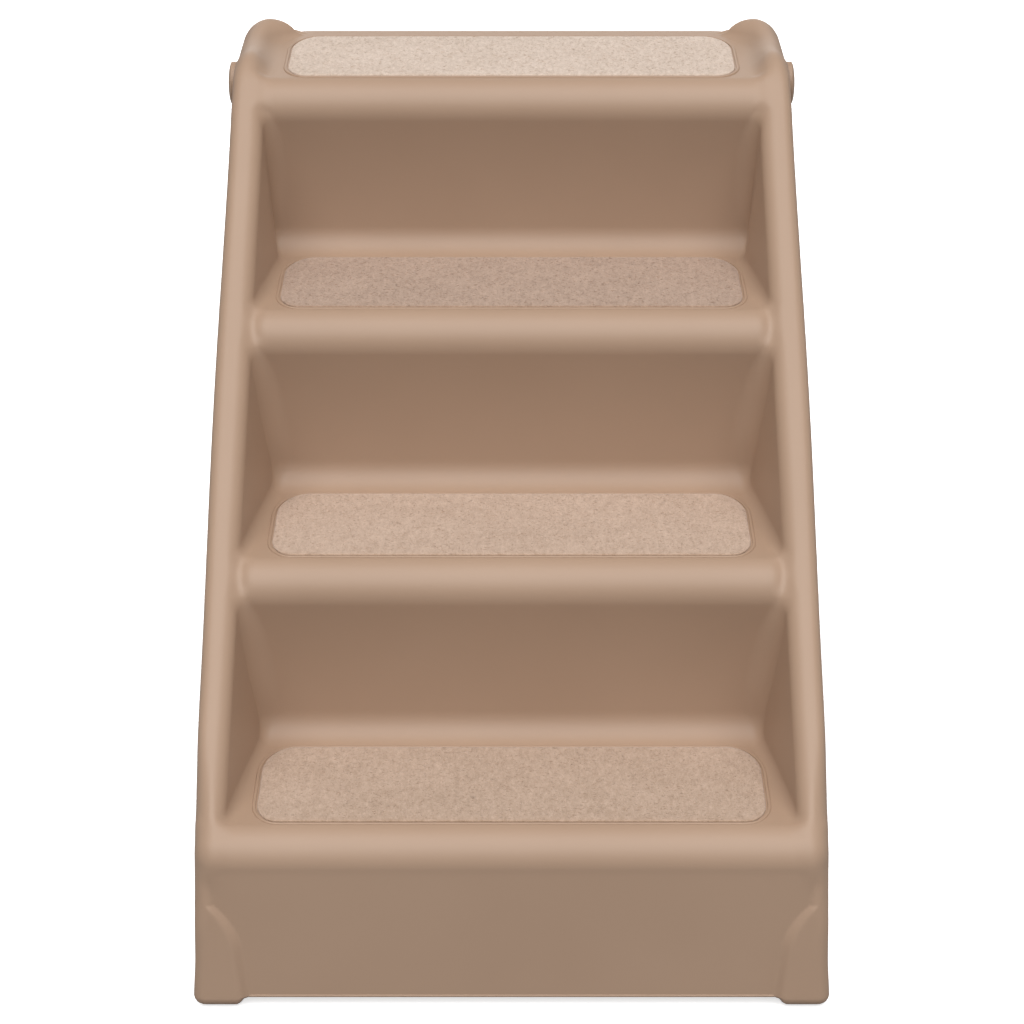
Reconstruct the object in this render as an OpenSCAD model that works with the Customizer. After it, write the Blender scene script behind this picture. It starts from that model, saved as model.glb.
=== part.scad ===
// Folding pet stairs: a moulded stair body with carpet treads, held up at the
// back by a leg that swings forward under the steps, and kept open by a brace.
// The front faces -Y, +Z is up, and the origin is under the middle of the whole.

/* [Steps] */
// Height of the lowest tread above the floor
first_tread_h = 115; // [100:1:130]
// Height from one tread to the next
tread_rise = 121.5; // [110:0.5:130]
// Depth from one nose to the next
tread_run = 141.5; // [130:0.5:155]
// Depth of the top platform, nose to back edge
platform_d = 158; // [150:1:180]
// Radius of the rounded noses
nose_r = 22; // [16:1:26]
// Radius of the fillet where a riser meets its tread
riser_fillet_r = 18; // [10:1:22]
// Lean of the risers, foot further back than the nose, in degrees
riser_rake = 8; // [0:1:10]

/* [Body] */
// Outer width at the floor
body_base_w = 397; // [385:1:410]
// How much narrower the body is at the height of the top platform
body_taper = 15; // [8:1:25]
// Wall of the moulding
shell_wall = 4; // [3:0.5:4.5]
// Width of each rail at its crest, by the top platform
rail_w = 17.5; // [15:0.5:24]
// Slope of the rails' inner faces, in degrees
rail_draft = 11; // [6:1:12]
// How far the rails stand proud of the noses
rail_proud = 1; // [0.5:0.5:3]
// Height of the rails' humps above the platform
hump_h = 15.5; // [10:0.5:20]
// Radius at the front of a hump, seen from the side
hump_front_r = 60; // [40:1:80]
// Radius at the back of a hump, seen from the side
hump_back_r = 30; // [20:1:40]
// Depth of the side walls below the inner corners of the steps
side_drop = 40; // [34:1:46]
// Length of each side wall where it stands by the floor
side_foot_len = 115; // [111:1:130]
// Height of the moulding's bottom edge above the floor
edge_gap = 7; // [5:1:10]
// Drop of the back skirt below the platform
skirt_drop = 54; // [48:1:60]

/* [Carpet pads] */
// Distance from each rail's crest to the upper pads
pad_side_gap = 19; // [17.5:0.5:30]
// Extra width of the lowest pad
first_pad_extra = 8; // [0:1:10]
// Depth of a pad
pad_d = 112; // [90:1:113]
// Thickness of a pad
pad_t = 3; // [2:0.5:5]
// Depth of the recess that a pad is glued into
pad_recess = 1.8; // [1:0.1:2.2]
// Distance from a nose's front to its pad
pad_setback = 20; // [18:1:22]
// Radius of a pad's front corners
pad_front_r = 20; // [8:1:30]
// Radius of a pad's back corners
pad_back_r = 30; // [8:1:40]
// Gap round a pad in its recess
pad_gap = 0.4; // [0.3:0.1:1]

/* [Rear leg] */
// Distance of the hinge in front of the platform's back edge
hinge_setback = 56.5; // [52:0.5:62]
// Gap between the leg's hinge boss and the underside of the platform
hinge_room = 3.5; // [2:0.5:6]
// How far the leg's feet stand behind the platform
leg_splay = 36.5; // [25:0.5:50]
// Gap between each cheek and the side wall beside the hinge
leg_side_gap = 2.4; // [2:0.1:6]
// Thickness of a cheek
cheek_t = 5; // [4:0.5:6]
// Thickness of the leg's back panel
panel_t = 4; // [3:0.5:5]
// Depth of a leg's foot, front to back
leg_foot_d = 66; // [55:1:75]
// Width of a leg's foot
leg_foot_w = 35; // [30:1:45]
// Radius of the leg's hinge boss
leg_boss_r = 17; // [14:0.5:18]
// Length of the leg's hinge boss
leg_boss_len = 20; // [15:1:24]
// Width of the window in the leg's panel
window_w = 200; // [150:1:210]
// Height of the window in the leg's panel
window_h = 130; // [100:1:140]
// Width of the arch between the leg's feet
arch_w = 270; // [200:1:280]
// Height of the arch between the leg's feet
arch_h = 100; // [60:1:110]
// Corner radius of the window and the arch
opening_r = 25; // [10:1:35]

/* [Hinge] */
// Radius of the round knob on the outside of each hinge
knob_r = 15; // [13:0.5:18]
// Thickness of a knob
knob_t = 6.3; // [4:0.1:8]
// Gap between a knob's rim and the body
knob_gap = 2.3; // [1:0.1:4]
// Radius of a knob's shaft
hinge_shaft_r = 7; // [5:0.5:9]
// Running clearance of the hinge and pivot shafts, on the radius
running_gap = 0.06; // [0.02:0.01:0.1]
// Radius of the screw in a hinge shaft
hinge_screw_r = 2; // [1.5:0.25:2.5]
// Radius of the washer that keeps the leg on its shaft
hinge_washer_r = 12; // [10:0.5:15]
// Thickness of that washer
hinge_washer_t = 1.5; // [1:0.25:2.5]

/* [Brace] */
// Height of the brace's pivot below the leg's hinge
brace_drop = 125; // [120:1:130]
// Distance of the catch bar in front of the leg's hinge
catch_ahead = 142; // [138:1:148]
// Depth of the catch bar below the tread above it
catch_drop = 33; // [30:1:36]
// Thickness of the brace's arms
brace_t = 14; // [12:1:15]
// Width of each arm
brace_arm_w = 14; // [10:1:18]
// Radius of the catch bar
catch_bar_r = 4.5; // [3.5:0.5:5]
// Length of the catch bar
catch_bar_len = 306; // [296:1:320]
// Distance from each end of the catch bar to the brace
brace_end_gap = 33; // [30:1:40]
// Radius of the brace's pivot pins
brace_pin_r = 4; // [3:0.5:4.5]
// Clearance between the brace's hook and the catch bar
catch_gap = 0.6; // [0.4:0.1:1]

/* [Feet] */
// Width of a front foot
front_foot_w = 33; // [28:1:40]
// Depth of a front foot
front_foot_d = 55; // [40:1:70]
// Height of a foot's solid sole
foot_block_h = 20; // [14:1:28]
// Thickness of a rubber foot
rubber_t = 4; // [3:0.5:6]
// How far a rubber foot stands below its sole
rubber_proud = 1.5; // [1:0.5:2.5]
// Margin of plastic round a rubber foot
rubber_margin = 5; // [3:0.5:7]
// Corner radius of a rubber foot
rubber_r = 5; // [2:0.5:8]

/* [Hidden] */

body_colour = "#c4a48b";
pad_colour = "#cdb29d";
rubber_colour = "#6d5a4c";
steel_colour = "#b9bcc0";

step_count = 4;
arc_steps = 8;
round_fn = 48;
overrun = 2;
seat_gap = 0.3;
body_gap = 0.4;

// Heights and places that follow from the steps
slope = atan2(tread_rise, tread_run);
along = [cos(slope), sin(slope)];
above = [-sin(slope), cos(slope)];
back_y = rail_proud + (step_count - 1) * tread_run + platform_d;
total_len = back_y + leg_splay;
platform_h = first_tread_h + (step_count - 1) * tread_rise;
body_h = platform_h + hump_h;
rail_gap_w = body_base_w - body_taper - 2 * rail_w;
pad_w = rail_gap_w - 2 * pad_side_gap;
side_lean = body_taper / 2 / platform_h;

hinge_y = back_y - hinge_setback;
hinge_z = platform_h - shell_wall - hinge_room - leg_boss_r;
hinge_at = [hinge_y, hinge_z];

function tread_z(i) = first_tread_h + i * tread_rise;
function nose_y(i) = rail_proud + i * tread_run;
function nose_at(i) = [nose_y(i) + nose_r, tread_z(i) - nose_r];
// Centre of the fillet between tread i - 1 and the riser under nose i
function fillet_at(i) =
    let (z = tread_z(i - 1) + riser_fillet_r,
         reach = nose_at(i) * [cos(riser_rake), sin(riser_rake)] - nose_r - riser_fillet_r)
    [(reach - z * sin(riser_rake)) / cos(riser_rake), z];
function half_w(z) = body_base_w / 2 - z * side_lean;
function arc(at, r, from, to) =
    [for (k = [0 : arc_steps])
        let (a = from + (to - from) * k / arc_steps)
        at + r * [cos(a), sin(a)]];

// Lines that run along the stairs, as heights over a line through the origin
rail_line = nose_at(0) * above + nose_r + rail_proud;
corner_line = fillet_at(1) * above - riser_fillet_r - shell_wall;
edge_line = corner_line - side_drop;
function on_line_z(line, z) = [(cos(slope) * z - line) / sin(slope), z];
function on_line_y(line, y) = [y, (line + sin(slope) * y) / cos(slope)];

// Surface of the steps from the lowest nose to the back edge, moved inwards by off
function step_path(off) = concat(
    arc(nose_at(0), nose_r - off, 180, 90),
    [for (i = [1 : step_count - 1])
        each concat(arc(fillet_at(i), riser_fillet_r + off, -90, riser_rake),
                    arc(nose_at(i), nose_r - off, 180 + riser_rake, 90))]);

skirt_low_z = platform_h - skirt_drop;
arch_side_r = (edge_line + sin(slope) * side_foot_len - cos(slope) * edge_gap) / (1 - sin(slope));
hump_front_at = let (z = body_h - hump_front_r)
    [(cos(slope) * z - rail_line + hump_front_r) / sin(slope), z];
hump_back_at = [back_y - hump_back_r, body_h - hump_back_r];

// Leg, brace and catch
leg_top_drop = 15;
leg_top_z = hinge_z - leg_top_drop;
leg_stand_off = 8.6;
leg_back_top_y = back_y - shell_wall - leg_stand_off;
leg_back_low_y = back_y + leg_splay;
leg_lean = atan2(leg_back_low_y - leg_back_top_y, leg_top_z);
panel_across = panel_t / cos(leg_lean);
function leg_back_y(z) = leg_back_low_y - z * tan(leg_lean);
function leg_inner_y(z) = leg_back_y(z) - panel_across;
leg_front_foot_y = leg_back_low_y - leg_foot_d;
cheek_front_low_z = 60;
cheek_front_inset = 6;
leg_half = half_w(hinge_z) - shell_wall - leg_side_gap;

brace_pivot_r = 8.5;
brace_stand_off = 11;
pivot_z = hinge_z - brace_drop;
pivot_at = [leg_inner_y(pivot_z) - brace_stand_off / cos(leg_lean), pivot_z];
catch_at = [hinge_y - catch_ahead, tread_z(step_count - 2) - catch_drop];
brace_len = norm(catch_at - pivot_at);
brace_angle = atan2(catch_at[1] - pivot_at[1], catch_at[0] - pivot_at[0]);
brace_half = catch_bar_len / 2 - brace_end_gap;
hook_front = 13;
hook_back = 20;
hook_half_h = 10;
hook_exit = 42;
brace_plate_t = 4;
brace_plate_inset = 24;
brace_rib_w = 5;

leg_lug_gap = 1;
leg_lug_w = 8;
leg_lug_r = 9.5;
leg_rib_t = 3;
leg_rib_d = 12;
leg_rib_stand_off = 8;
leg_rib_x = brace_half + leg_lug_gap + leg_lug_w + leg_rib_stand_off;
pin_head_r = 7.5;
pin_head_t = 2.2;
pin_past = 1.5;

catch_lug_w = 8;
catch_lug_r = 10;
catch_bar_past = 5;
catch_lug_x = catch_bar_len / 2 - catch_bar_past - catch_lug_w;
catch_cap_r = 8;
catch_cap_wall = 2;
catch_rib_relief = 4;

shell_rib_t = 3;
shell_rib_stand_off = 21;
shell_rib_x = brace_half - brace_arm_w - shell_rib_stand_off;
shell_rib_front_z = 40;
shell_rib_lift = 1;
hinge_ring_r = 13;
stop_x = 90;
stop_w = 40;
screw_head_r = 4.5;
screw_head_t = 2.6;
screw_len = 14;
knob_collar_r = 10.5;
knob_dome = 2.6;
knob_rim_t = knob_t - knob_dome;

window_low_z = 152;

// Puts a shape drawn from the rails' front edge into the part's own frame
module placed() {
    translate([0, -total_len / 2, 0]) children();
}

// Draws an outline in the side view, Y across and Z up, and extrudes it from x0 to x1
module along_x(x0, x1) {
    translate([x0, 0, 0]) rotate([90, 0, 90]) linear_extrude(x1 - x0) children();
}

module both_sides() {
    children();
    mirror([1, 0, 0]) children();
}

module rod(at, r, x0, x1) {
    along_x(x0, x1) translate(at) circle(r = r, $fn = round_fn);
}

// Block between the leaning side faces, moved inwards by off
module side_envelope(off) {
    low = -overrun;
    high = body_h + overrun;
    translate([0, total_len + overrun, 0]) rotate([90, 0, 0])
        linear_extrude(total_len + 2 * overrun)
            polygon([[-half_w(low) + off, low], [half_w(low) - off, low],
                     [half_w(high) - off, high], [-half_w(high) + off, high]]);
}

// Wedge between the rails' inner faces, moved outwards by off
module rail_wedge(off) {
    depth = rail_line - corner_line + 2 * side_drop;
    rise = 2 * hump_h;
    crest = rail_gap_w / 2 + off / cos(rail_draft);
    length = 2 * total_len;
    translate([0, above[0] * rail_line - along[0] * total_len / 2,
               above[1] * rail_line - along[1] * total_len / 2])
        rotate([slope - 90, 0, 0]) linear_extrude(length)
            polygon([[-crest - rise * tan(rail_draft), -rise],
                     [crest + rise * tan(rail_draft), -rise],
                     [crest - depth * tan(rail_draft), depth],
                     [-crest + depth * tan(rail_draft), depth]]);
}

// Room over the steps and between the rails, grown by off
module step_room(off) {
    top = body_h + 2 * hump_h;
    intersection() {
        along_x(-body_base_w, body_base_w)
            polygon(concat(step_path(off),
                           [[total_len, platform_h - off], [total_len, top],
                            [-nose_r, top], [-nose_r, tread_z(0) - nose_r]]));
        rail_wedge(off);
    }
}

// Side view of the whole body, solid
module body_side() {
    polygon(concat(
        [[0, edge_gap]],
        arc(nose_at(0), nose_r + rail_proud, 180, 90 + slope),
        arc(hump_front_at, hump_front_r, 90 + slope, 90),
        arc(hump_back_at, hump_back_r, 90, 0),
        [[back_y, skirt_low_z], on_line_z(edge_line, skirt_low_z)],
        arc([side_foot_len + arch_side_r, edge_gap], arch_side_r, 90 + slope, 180)));
}

// Side view of the hollow, open at the bottom
module hollow_side() {
    w = shell_wall;
    polygon(concat(
        [[w, -overrun]],
        arc(nose_at(0), nose_r + rail_proud - w, 180, 90 + slope),
        arc(hump_front_at, hump_front_r - w, 90 + slope, 90),
        arc(hump_back_at, hump_back_r - w, 90, 0),
        [[back_y - w, -overrun]]));
}

// Rib that fills the steps' undersides down to the line of their inner corners
module rib_side() {
    half = shell_wall / 2;
    line = corner_line + shell_rib_lift;
    polygon(concat(
        [[half, shell_rib_front_z]],
        step_path(half),
        [on_line_z(line, platform_h - half)],
        [on_line_y(line, fillet_at(1)[0])]));
}

module pad_outline(w, grow) {
    d = pad_d + grow;
    x = w / 2 + grow;
    f = pad_front_r + grow;
    b = pad_back_r + grow;
    polygon(concat(
        arc([x - f, f - grow], f, -90, 0),
        arc([x - b, d - b], b, 0, 90),
        arc([b - x, d - b], b, 90, 180),
        arc([f - x, f - grow], f, 180, 270)));
}

function pad_width(i) = pad_w + (i == 0 ? first_pad_extra : 0);

// Pad number i, or its recess when grow is more than nothing
module pad_block(i, grow, height) {
    translate([0, nose_y(i) + pad_setback, tread_z(i) - pad_recess])
        linear_extrude(height) pad_outline(pad_width(i), grow);
}

// Outline of a rubber foot, seen from above
module rubber_outline(w, d, grow) {
    x = w / 2 - rubber_margin + grow;
    y = d / 2 - rubber_margin + grow;
    r = rubber_r + grow;
    polygon(concat(
        arc([x - r, r - y], r, -90, 0), arc([x - r, y - r], r, 0, 90),
        arc([r - x, y - r], r, 90, 180), arc([r - x, r - y], r, 180, 270)));
}

front_foot_x = half_w(0) - front_foot_w / 2 - rubber_proud;
front_foot_y = front_foot_d / 2 + rubber_proud;
rear_foot_x = leg_half - leg_foot_w / 2;
rear_foot_y = leg_back_low_y - leg_foot_d / 2;

module rubber_foot(x, y, w, d) {
    translate([x, y, 0]) linear_extrude(rubber_t) rubber_outline(w, d, 0);
}

module rubber_seat(x, y, w, d) {
    translate([x, y, -overrun]) linear_extrude(rubber_t + seat_gap / 2 + overrun)
        rubber_outline(w, d, seat_gap / 2);
}

module front_foot_blocks() {
    intersection() {
        side_envelope(0);
        both_sides()
            translate([half_w(0) - front_foot_w, 0, rubber_proud])
                cube([front_foot_w + overrun, front_foot_d, foot_block_h]);
    }
}

// Lug that hangs from the steps or the rails and holds one end of the catch bar
module catch_lug() {
    line = rail_line - shell_wall / 2;
    front = catch_at[0] - catch_lug_r;
    back = catch_at[0] + catch_lug_r;
    rod(catch_at, catch_lug_r, catch_lug_x, catch_lug_x + catch_lug_w);
    difference() {
        along_x(catch_lug_x, catch_lug_x + catch_lug_w)
            polygon([[front, catch_at[1]], [back, catch_at[1]],
                     on_line_y(line, back), on_line_y(line, front)]);
        step_room(shell_wall / 2);
    }
}

// Stops on the back skirt that the open leg leans on
module leg_stop() {
    front = leg_back_y(skirt_low_z) + seat_gap;
    translate([stop_x, front, skirt_low_z])
        cube([stop_w, back_y - shell_wall / 2 - front, leg_top_z - skirt_low_z]);
}

// Moulded stair body: steps, rails, side walls, skirt, ribs, lugs and soles
module stair_shell() {
    ring_x = leg_half + body_gap;
    lug_out_x = catch_lug_x + catch_lug_w + overrun;
    color(body_colour) placed() difference() {
        union() {
            difference() {
                intersection() {
                    along_x(-body_base_w / 2, body_base_w / 2) body_side();
                    side_envelope(0);
                }
                step_room(0);
                difference() {
                    intersection() {
                        along_x(-body_base_w / 2, body_base_w / 2) hollow_side();
                        side_envelope(shell_wall);
                    }
                    step_room(shell_wall);
                }
            }
            front_foot_blocks();
            both_sides() {
                along_x(shell_rib_x - shell_rib_t / 2, shell_rib_x + shell_rib_t / 2) rib_side();
                catch_lug();
                leg_stop();
                rod(hinge_at, hinge_ring_r, ring_x, half_w(hinge_z) - shell_wall / 2);
            }
        }
        for (i = [0 : step_count - 1]) pad_block(i, pad_gap, pad_t + overrun);
        rod(catch_at, catch_bar_r + running_gap, -lug_out_x, lug_out_x);
        rod(catch_at, catch_bar_r + catch_rib_relief, -brace_half, brace_half);
        brace_section(-brace_half, brace_half) brace_room();
        both_sides() {
            rod(hinge_at, hinge_shaft_r + running_gap, leg_half - overrun, body_base_w / 2);
            rubber_seat(front_foot_x, front_foot_y, front_foot_w, front_foot_d);
        }
    }
}

module tread_pad(i) {
    color(pad_colour) placed() pad_block(i, 0, pad_t);
}

module front_foot(side) {
    color(rubber_colour) placed()
        rubber_foot(side * front_foot_x, front_foot_y, front_foot_w, front_foot_d);
}

module rear_foot(side) {
    color(rubber_colour) placed()
        rubber_foot(side * rear_foot_x, rear_foot_y, leg_foot_w, leg_foot_d);
}

knob_in_x = half_w(hinge_z) + knob_gap;
knob_out_x = knob_in_x + knob_t;
shaft_in_x = leg_half - leg_boss_len - body_gap;

// Round knob with a collar and a hollow shaft, turned about its own axis
module hinge_knob_right_side() {
    tip = knob_out_x - shaft_in_x;
    face = knob_out_x - knob_in_x;
    wall = knob_out_x - half_w(hinge_z) - seat_gap;
    translate([knob_out_x, hinge_y, hinge_z]) rotate([0, -90, 0])
        rotate_extrude($fn = round_fn)
            polygon(concat(
                [for (k = [0 : arc_steps])
                    let (a = 90 * k / arc_steps)
                    [knob_r * sin(a), knob_dome * (1 - cos(a))]],
                [[knob_r, face], [knob_collar_r, face], [knob_collar_r, wall],
                 [hinge_shaft_r, wall], [hinge_shaft_r, tip],
                 [hinge_screw_r + running_gap, tip],
                 [hinge_screw_r + running_gap, tip - screw_len],
                 [0, tip - screw_len]]));
}

module hinge_knob_right() {
    color(body_colour) placed() hinge_knob_right_side();
}

module hinge_knob_left() {
    color(body_colour) placed() mirror([1, 0, 0]) hinge_knob_right_side();
}

module hinge_washers() {
    x = shaft_in_x - hinge_washer_t;
    color(steel_colour) placed() both_sides()
        difference() {
            rod(hinge_at, hinge_washer_r, x, shaft_in_x);
            rod(hinge_at, hinge_screw_r + running_gap, x - overrun, shaft_in_x + overrun);
        }
}

module hinge_screws() {
    x = shaft_in_x - hinge_washer_t;
    color(steel_colour) placed() both_sides() {
        rod(hinge_at, hinge_screw_r, x, shaft_in_x + screw_len - overrun);
        rod(hinge_at, screw_head_r, x - screw_head_t, x);
    }
}

module catch_bar() {
    color(steel_colour) placed() rod(catch_at, catch_bar_r, -catch_bar_len / 2, catch_bar_len / 2);
}

module catch_bar_caps() {
    inner = catch_lug_x + catch_lug_w + seat_gap;
    outer = catch_bar_len / 2 + catch_cap_wall;
    color(body_colour) placed() both_sides()
        difference() {
            rod(catch_at, catch_cap_r, inner, outer);
            rod(catch_at, catch_bar_r + running_gap, inner - overrun, catch_bar_len / 2 + running_gap);
        }
}

// Side view of one cheek of the leg
module cheek_side() {
    sole = rubber_proud;
    polygon(concat(
        arc(hinge_at, leg_boss_r, 185, 55),
        [[leg_back_y(leg_top_z), leg_top_z], [leg_back_y(sole), sole],
         [leg_front_foot_y, sole], [leg_front_foot_y, sole + foot_block_h],
         [leg_front_foot_y - cheek_front_inset, cheek_front_low_z]]));
}

module panel_side() {
    polygon([[leg_back_y(leg_top_z), leg_top_z], [leg_back_y(rubber_proud), rubber_proud],
             [leg_inner_y(rubber_proud), rubber_proud], [leg_inner_y(leg_top_z), leg_top_z]]);
}

// Rounded opening through the leg's panel, seen from behind
module panel_opening(w, low, high) {
    r = opening_r;
    x = w / 2 - r;
    translate([0, total_len + overrun, 0]) rotate([90, 0, 0])
        linear_extrude(2 * leg_foot_d)
            polygon(concat(
                arc([x, low + r], r, -90, 0), arc([x, high - r], r, 0, 90),
                arc([-x, high - r], r, 90, 180), arc([-x, low + r], r, 180, 270)));
}

module leg_lug() {
    x0 = brace_half + leg_lug_gap;
    reach = leg_lug_r;
    rod(pivot_at, leg_lug_r, x0, x0 + leg_lug_w);
    along_x(x0, x0 + leg_lug_w)
        polygon([pivot_at + [0, reach], pivot_at - [0, reach],
                 [leg_inner_y(pivot_z - reach) + panel_across / 2, pivot_z - reach],
                 [leg_inner_y(pivot_z + reach) + panel_across / 2, pivot_z + reach]]);
}

module leg_rib() {
    low = arch_h + opening_r;
    high = leg_top_z - opening_r;
    along_x(leg_rib_x, leg_rib_x + leg_rib_t)
        polygon([[leg_inner_y(low) + panel_across / 2, low],
                 [leg_inner_y(high) + panel_across / 2, high],
                 [leg_inner_y(high) - leg_rib_d, high - leg_rib_d],
                 [leg_inner_y(low) - leg_rib_d, low + leg_rib_d]]);
}

// Rear leg: two cheeks, a back panel, feet, hinge bosses and lugs for the brace
module rear_leg() {
    color(body_colour) placed() difference() {
        union() {
            difference() {
                along_x(-leg_half, leg_half) panel_side();
                panel_opening(window_w, window_low_z, window_low_z + window_h);
                panel_opening(arch_w, -2 * opening_r, arch_h);
            }
            both_sides() {
                along_x(leg_half - cheek_t, leg_half) cheek_side();
                rod(hinge_at, leg_boss_r, leg_half - leg_boss_len, leg_half);
                leg_lug();
                leg_rib();
                translate([leg_half - leg_foot_w, leg_front_foot_y, rubber_proud])
                    cube([leg_foot_w, leg_back_y(foot_block_h + rubber_proud) - leg_front_foot_y,
                          foot_block_h]);
            }
        }
        both_sides() {
            rod(hinge_at, hinge_shaft_r + running_gap, leg_half - leg_boss_len - overrun,
                leg_half + overrun);
            rod(pivot_at, brace_pin_r + running_gap, brace_half - overrun,
                brace_half + leg_lug_gap + leg_lug_w + overrun);
            rubber_seat(rear_foot_x, rear_foot_y, leg_foot_w, leg_foot_d);
        }
    }
}

module brace_pin(side) {
    lug_out = brace_half + leg_lug_gap + leg_lug_w;
    color(steel_colour) placed() mirror([side < 0 ? 1 : 0, 0, 0]) {
        rod(pivot_at, brace_pin_r, brace_half - brace_arm_w - pin_past, lug_out + pin_head_t);
        rod(pivot_at, pin_head_r, lug_out, lug_out + pin_head_t);
    }
}

// Notch in the hook, drawn with the catch bar at the origin, open upwards and backwards
module hook_notch() {
    r = catch_bar_r + catch_gap;
    reach = 2 * hook_half_h;
    polygon(concat(
        [[r, -reach]],
        arc([0, 0], r, 0, 90 + hook_exit),
        [[-r * sin(hook_exit) - reach * cos(hook_exit), r * cos(hook_exit) - reach * sin(hook_exit)]]));
}

// Side view of a brace arm, from its pivot to its hook, with X towards the hook and Y down
module brace_arm_side() {
    difference() {
        union() {
            circle(r = brace_pivot_r, $fn = round_fn);
            translate([0, -brace_t / 2]) square([brace_len, brace_t]);
            translate([brace_len - hook_back, -hook_half_h])
                square([hook_back + hook_front, 2 * hook_half_h]);
        }
        translate([brace_len, 0]) hook_notch();
        circle(r = brace_pin_r + running_gap, $fn = round_fn);
    }
}

module brace_section(x0, x1) {
    along_x(x0, x1) translate(pivot_at) rotate(brace_angle) children();
}

// Room round the brace's plate, which the body's ribs keep clear of
module brace_room() {
    high = brace_t / 2 + catch_rib_relief;
    translate([0, -high]) square([brace_len - brace_plate_inset + catch_rib_relief, 2 * high]);
}

// Brace that clips up to the catch bar: two hooked arms joined by a ribbed plate
module lock_brace() {
    inner = brace_half - brace_arm_w;
    plate_len = brace_len - 2 * brace_plate_inset;
    color(body_colour) placed() {
        both_sides() brace_section(inner, brace_half) brace_arm_side();
        brace_section(-inner - overrun, inner + overrun) {
            translate([brace_plate_inset, -brace_plate_t / 2]) square([plate_len, brace_plate_t]);
            for (x = [brace_plate_inset, (brace_len - brace_rib_w) / 2,
                      brace_len - brace_plate_inset - brace_rib_w])
                translate([x, -brace_t / 2]) square([brace_rib_w, brace_t]);
        }
    }
}

stair_shell();
tread_pad(0);  // tread_pad_1
tread_pad(1);  // tread_pad_2
tread_pad(2);  // tread_pad_3
tread_pad(3);  // tread_pad_4
front_foot(-1);  // front_foot_left
front_foot(1);  // front_foot_right
hinge_knob_left();
hinge_knob_right();
hinge_washers();
hinge_screws();
catch_bar();
catch_bar_caps();
rear_leg();
rear_foot(-1);  // rear_foot_left
rear_foot(1);  // rear_foot_right
brace_pin(-1);  // brace_pin_left
brace_pin(1);  // brace_pin_right
lock_brace();
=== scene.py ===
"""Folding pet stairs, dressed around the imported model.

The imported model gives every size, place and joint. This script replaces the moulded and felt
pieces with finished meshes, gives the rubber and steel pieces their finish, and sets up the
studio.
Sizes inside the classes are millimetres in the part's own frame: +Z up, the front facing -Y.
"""
import logging
import math
from abc import ABC, abstractmethod
from collections.abc import Callable, Sequence
from dataclasses import dataclass, field
from enum import Enum
from typing import ClassVar

import bpy
import numpy as np
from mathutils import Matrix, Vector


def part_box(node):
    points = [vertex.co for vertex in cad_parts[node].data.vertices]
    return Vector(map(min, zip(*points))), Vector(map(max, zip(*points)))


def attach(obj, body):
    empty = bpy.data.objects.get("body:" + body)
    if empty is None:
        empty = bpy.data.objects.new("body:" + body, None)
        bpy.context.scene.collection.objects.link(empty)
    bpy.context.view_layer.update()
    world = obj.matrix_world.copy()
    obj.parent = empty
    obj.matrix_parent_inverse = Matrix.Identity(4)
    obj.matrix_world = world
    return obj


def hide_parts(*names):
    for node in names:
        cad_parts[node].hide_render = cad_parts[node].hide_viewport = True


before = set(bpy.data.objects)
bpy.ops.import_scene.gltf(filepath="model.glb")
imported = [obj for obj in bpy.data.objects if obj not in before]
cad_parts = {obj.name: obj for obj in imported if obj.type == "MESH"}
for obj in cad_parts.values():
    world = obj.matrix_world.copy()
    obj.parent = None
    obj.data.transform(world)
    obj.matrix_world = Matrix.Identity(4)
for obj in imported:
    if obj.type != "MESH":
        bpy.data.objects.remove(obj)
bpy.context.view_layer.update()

LOG = logging.getLogger("pet_stairs")
MM = 0.001

# FAR is past every piece, OVERRUN is how far a cut runs past its piece, and TINY keeps a
# division safe.
FAR = 1e9
OVERRUN = 200.0
TINY = 1e-9

Array = np.ndarray
Field = Callable[[Array, Array, Array], Array]
# Where something starts and ends.
Stretch = tuple[float, float]
# Where a stretch of grid lines ends and the step between its lines.
Lines = tuple[float, float]


# Solids as signed distances, negative inside, in millimetres

def slab(value: Array, middle: float, thickness: float) -> Array:
    """Distance to a flat layer round a middle value."""
    return np.abs(value - middle) - thickness / 2


def fillet_union(a: Array, b: Array, radius: float | Array) -> Array:
    """Joins two solids with a concave fillet.

    Args:
        a: Distance to the first solid.
        b: Distance to the second solid.
        radius: Radius of the fillet where the solids meet square.

    Returns:
        Distance to the joined solid.
    """
    reach = np.hypot(np.maximum(radius - a, 0.0), np.maximum(radius - b, 0.0))
    return np.maximum(radius, np.minimum(a, b)) - reach


def rounded_cut(a: Array, b: Array, radius: float | Array) -> Array:
    """Keeps what lies in both solids and rounds the edge between them.

    Args:
        a: Distance to the first solid.
        b: Distance to the second solid.
        radius: Radius of the rounded edge.

    Returns:
        Distance to the common solid.
    """
    reach = np.hypot(np.maximum(radius + a, 0.0), np.maximum(radius + b, 0.0))
    return np.minimum(-radius, np.maximum(a, b)) + reach


def rounded_box(x: Array, y: Array, z: Array, low: Sequence[float], high: Sequence[float],
                radius: float) -> Array:
    """Distance to a box with rounded edges, given by its lowest and highest corners.

    Args:
        x: Places across the stairs, zero in the middle.
        y: Places from front to back.
        z: Heights above the floor.
        low: Lowest corner of the box.
        high: Highest corner of the box.
        radius: Radius of its edges.

    Returns:
        The distance of each place, negative inside.
    """
    outside = 0.0
    inside = -FAR
    for value, start, end in zip((x, y, z), low, high):
        reach = slab(value, (start + end) / 2, end - start) + radius
        outside = outside + np.maximum(reach, 0.0) ** 2
        inside = np.maximum(inside, reach)
    return np.sqrt(outside) + np.minimum(inside, 0.0) - radius


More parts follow.
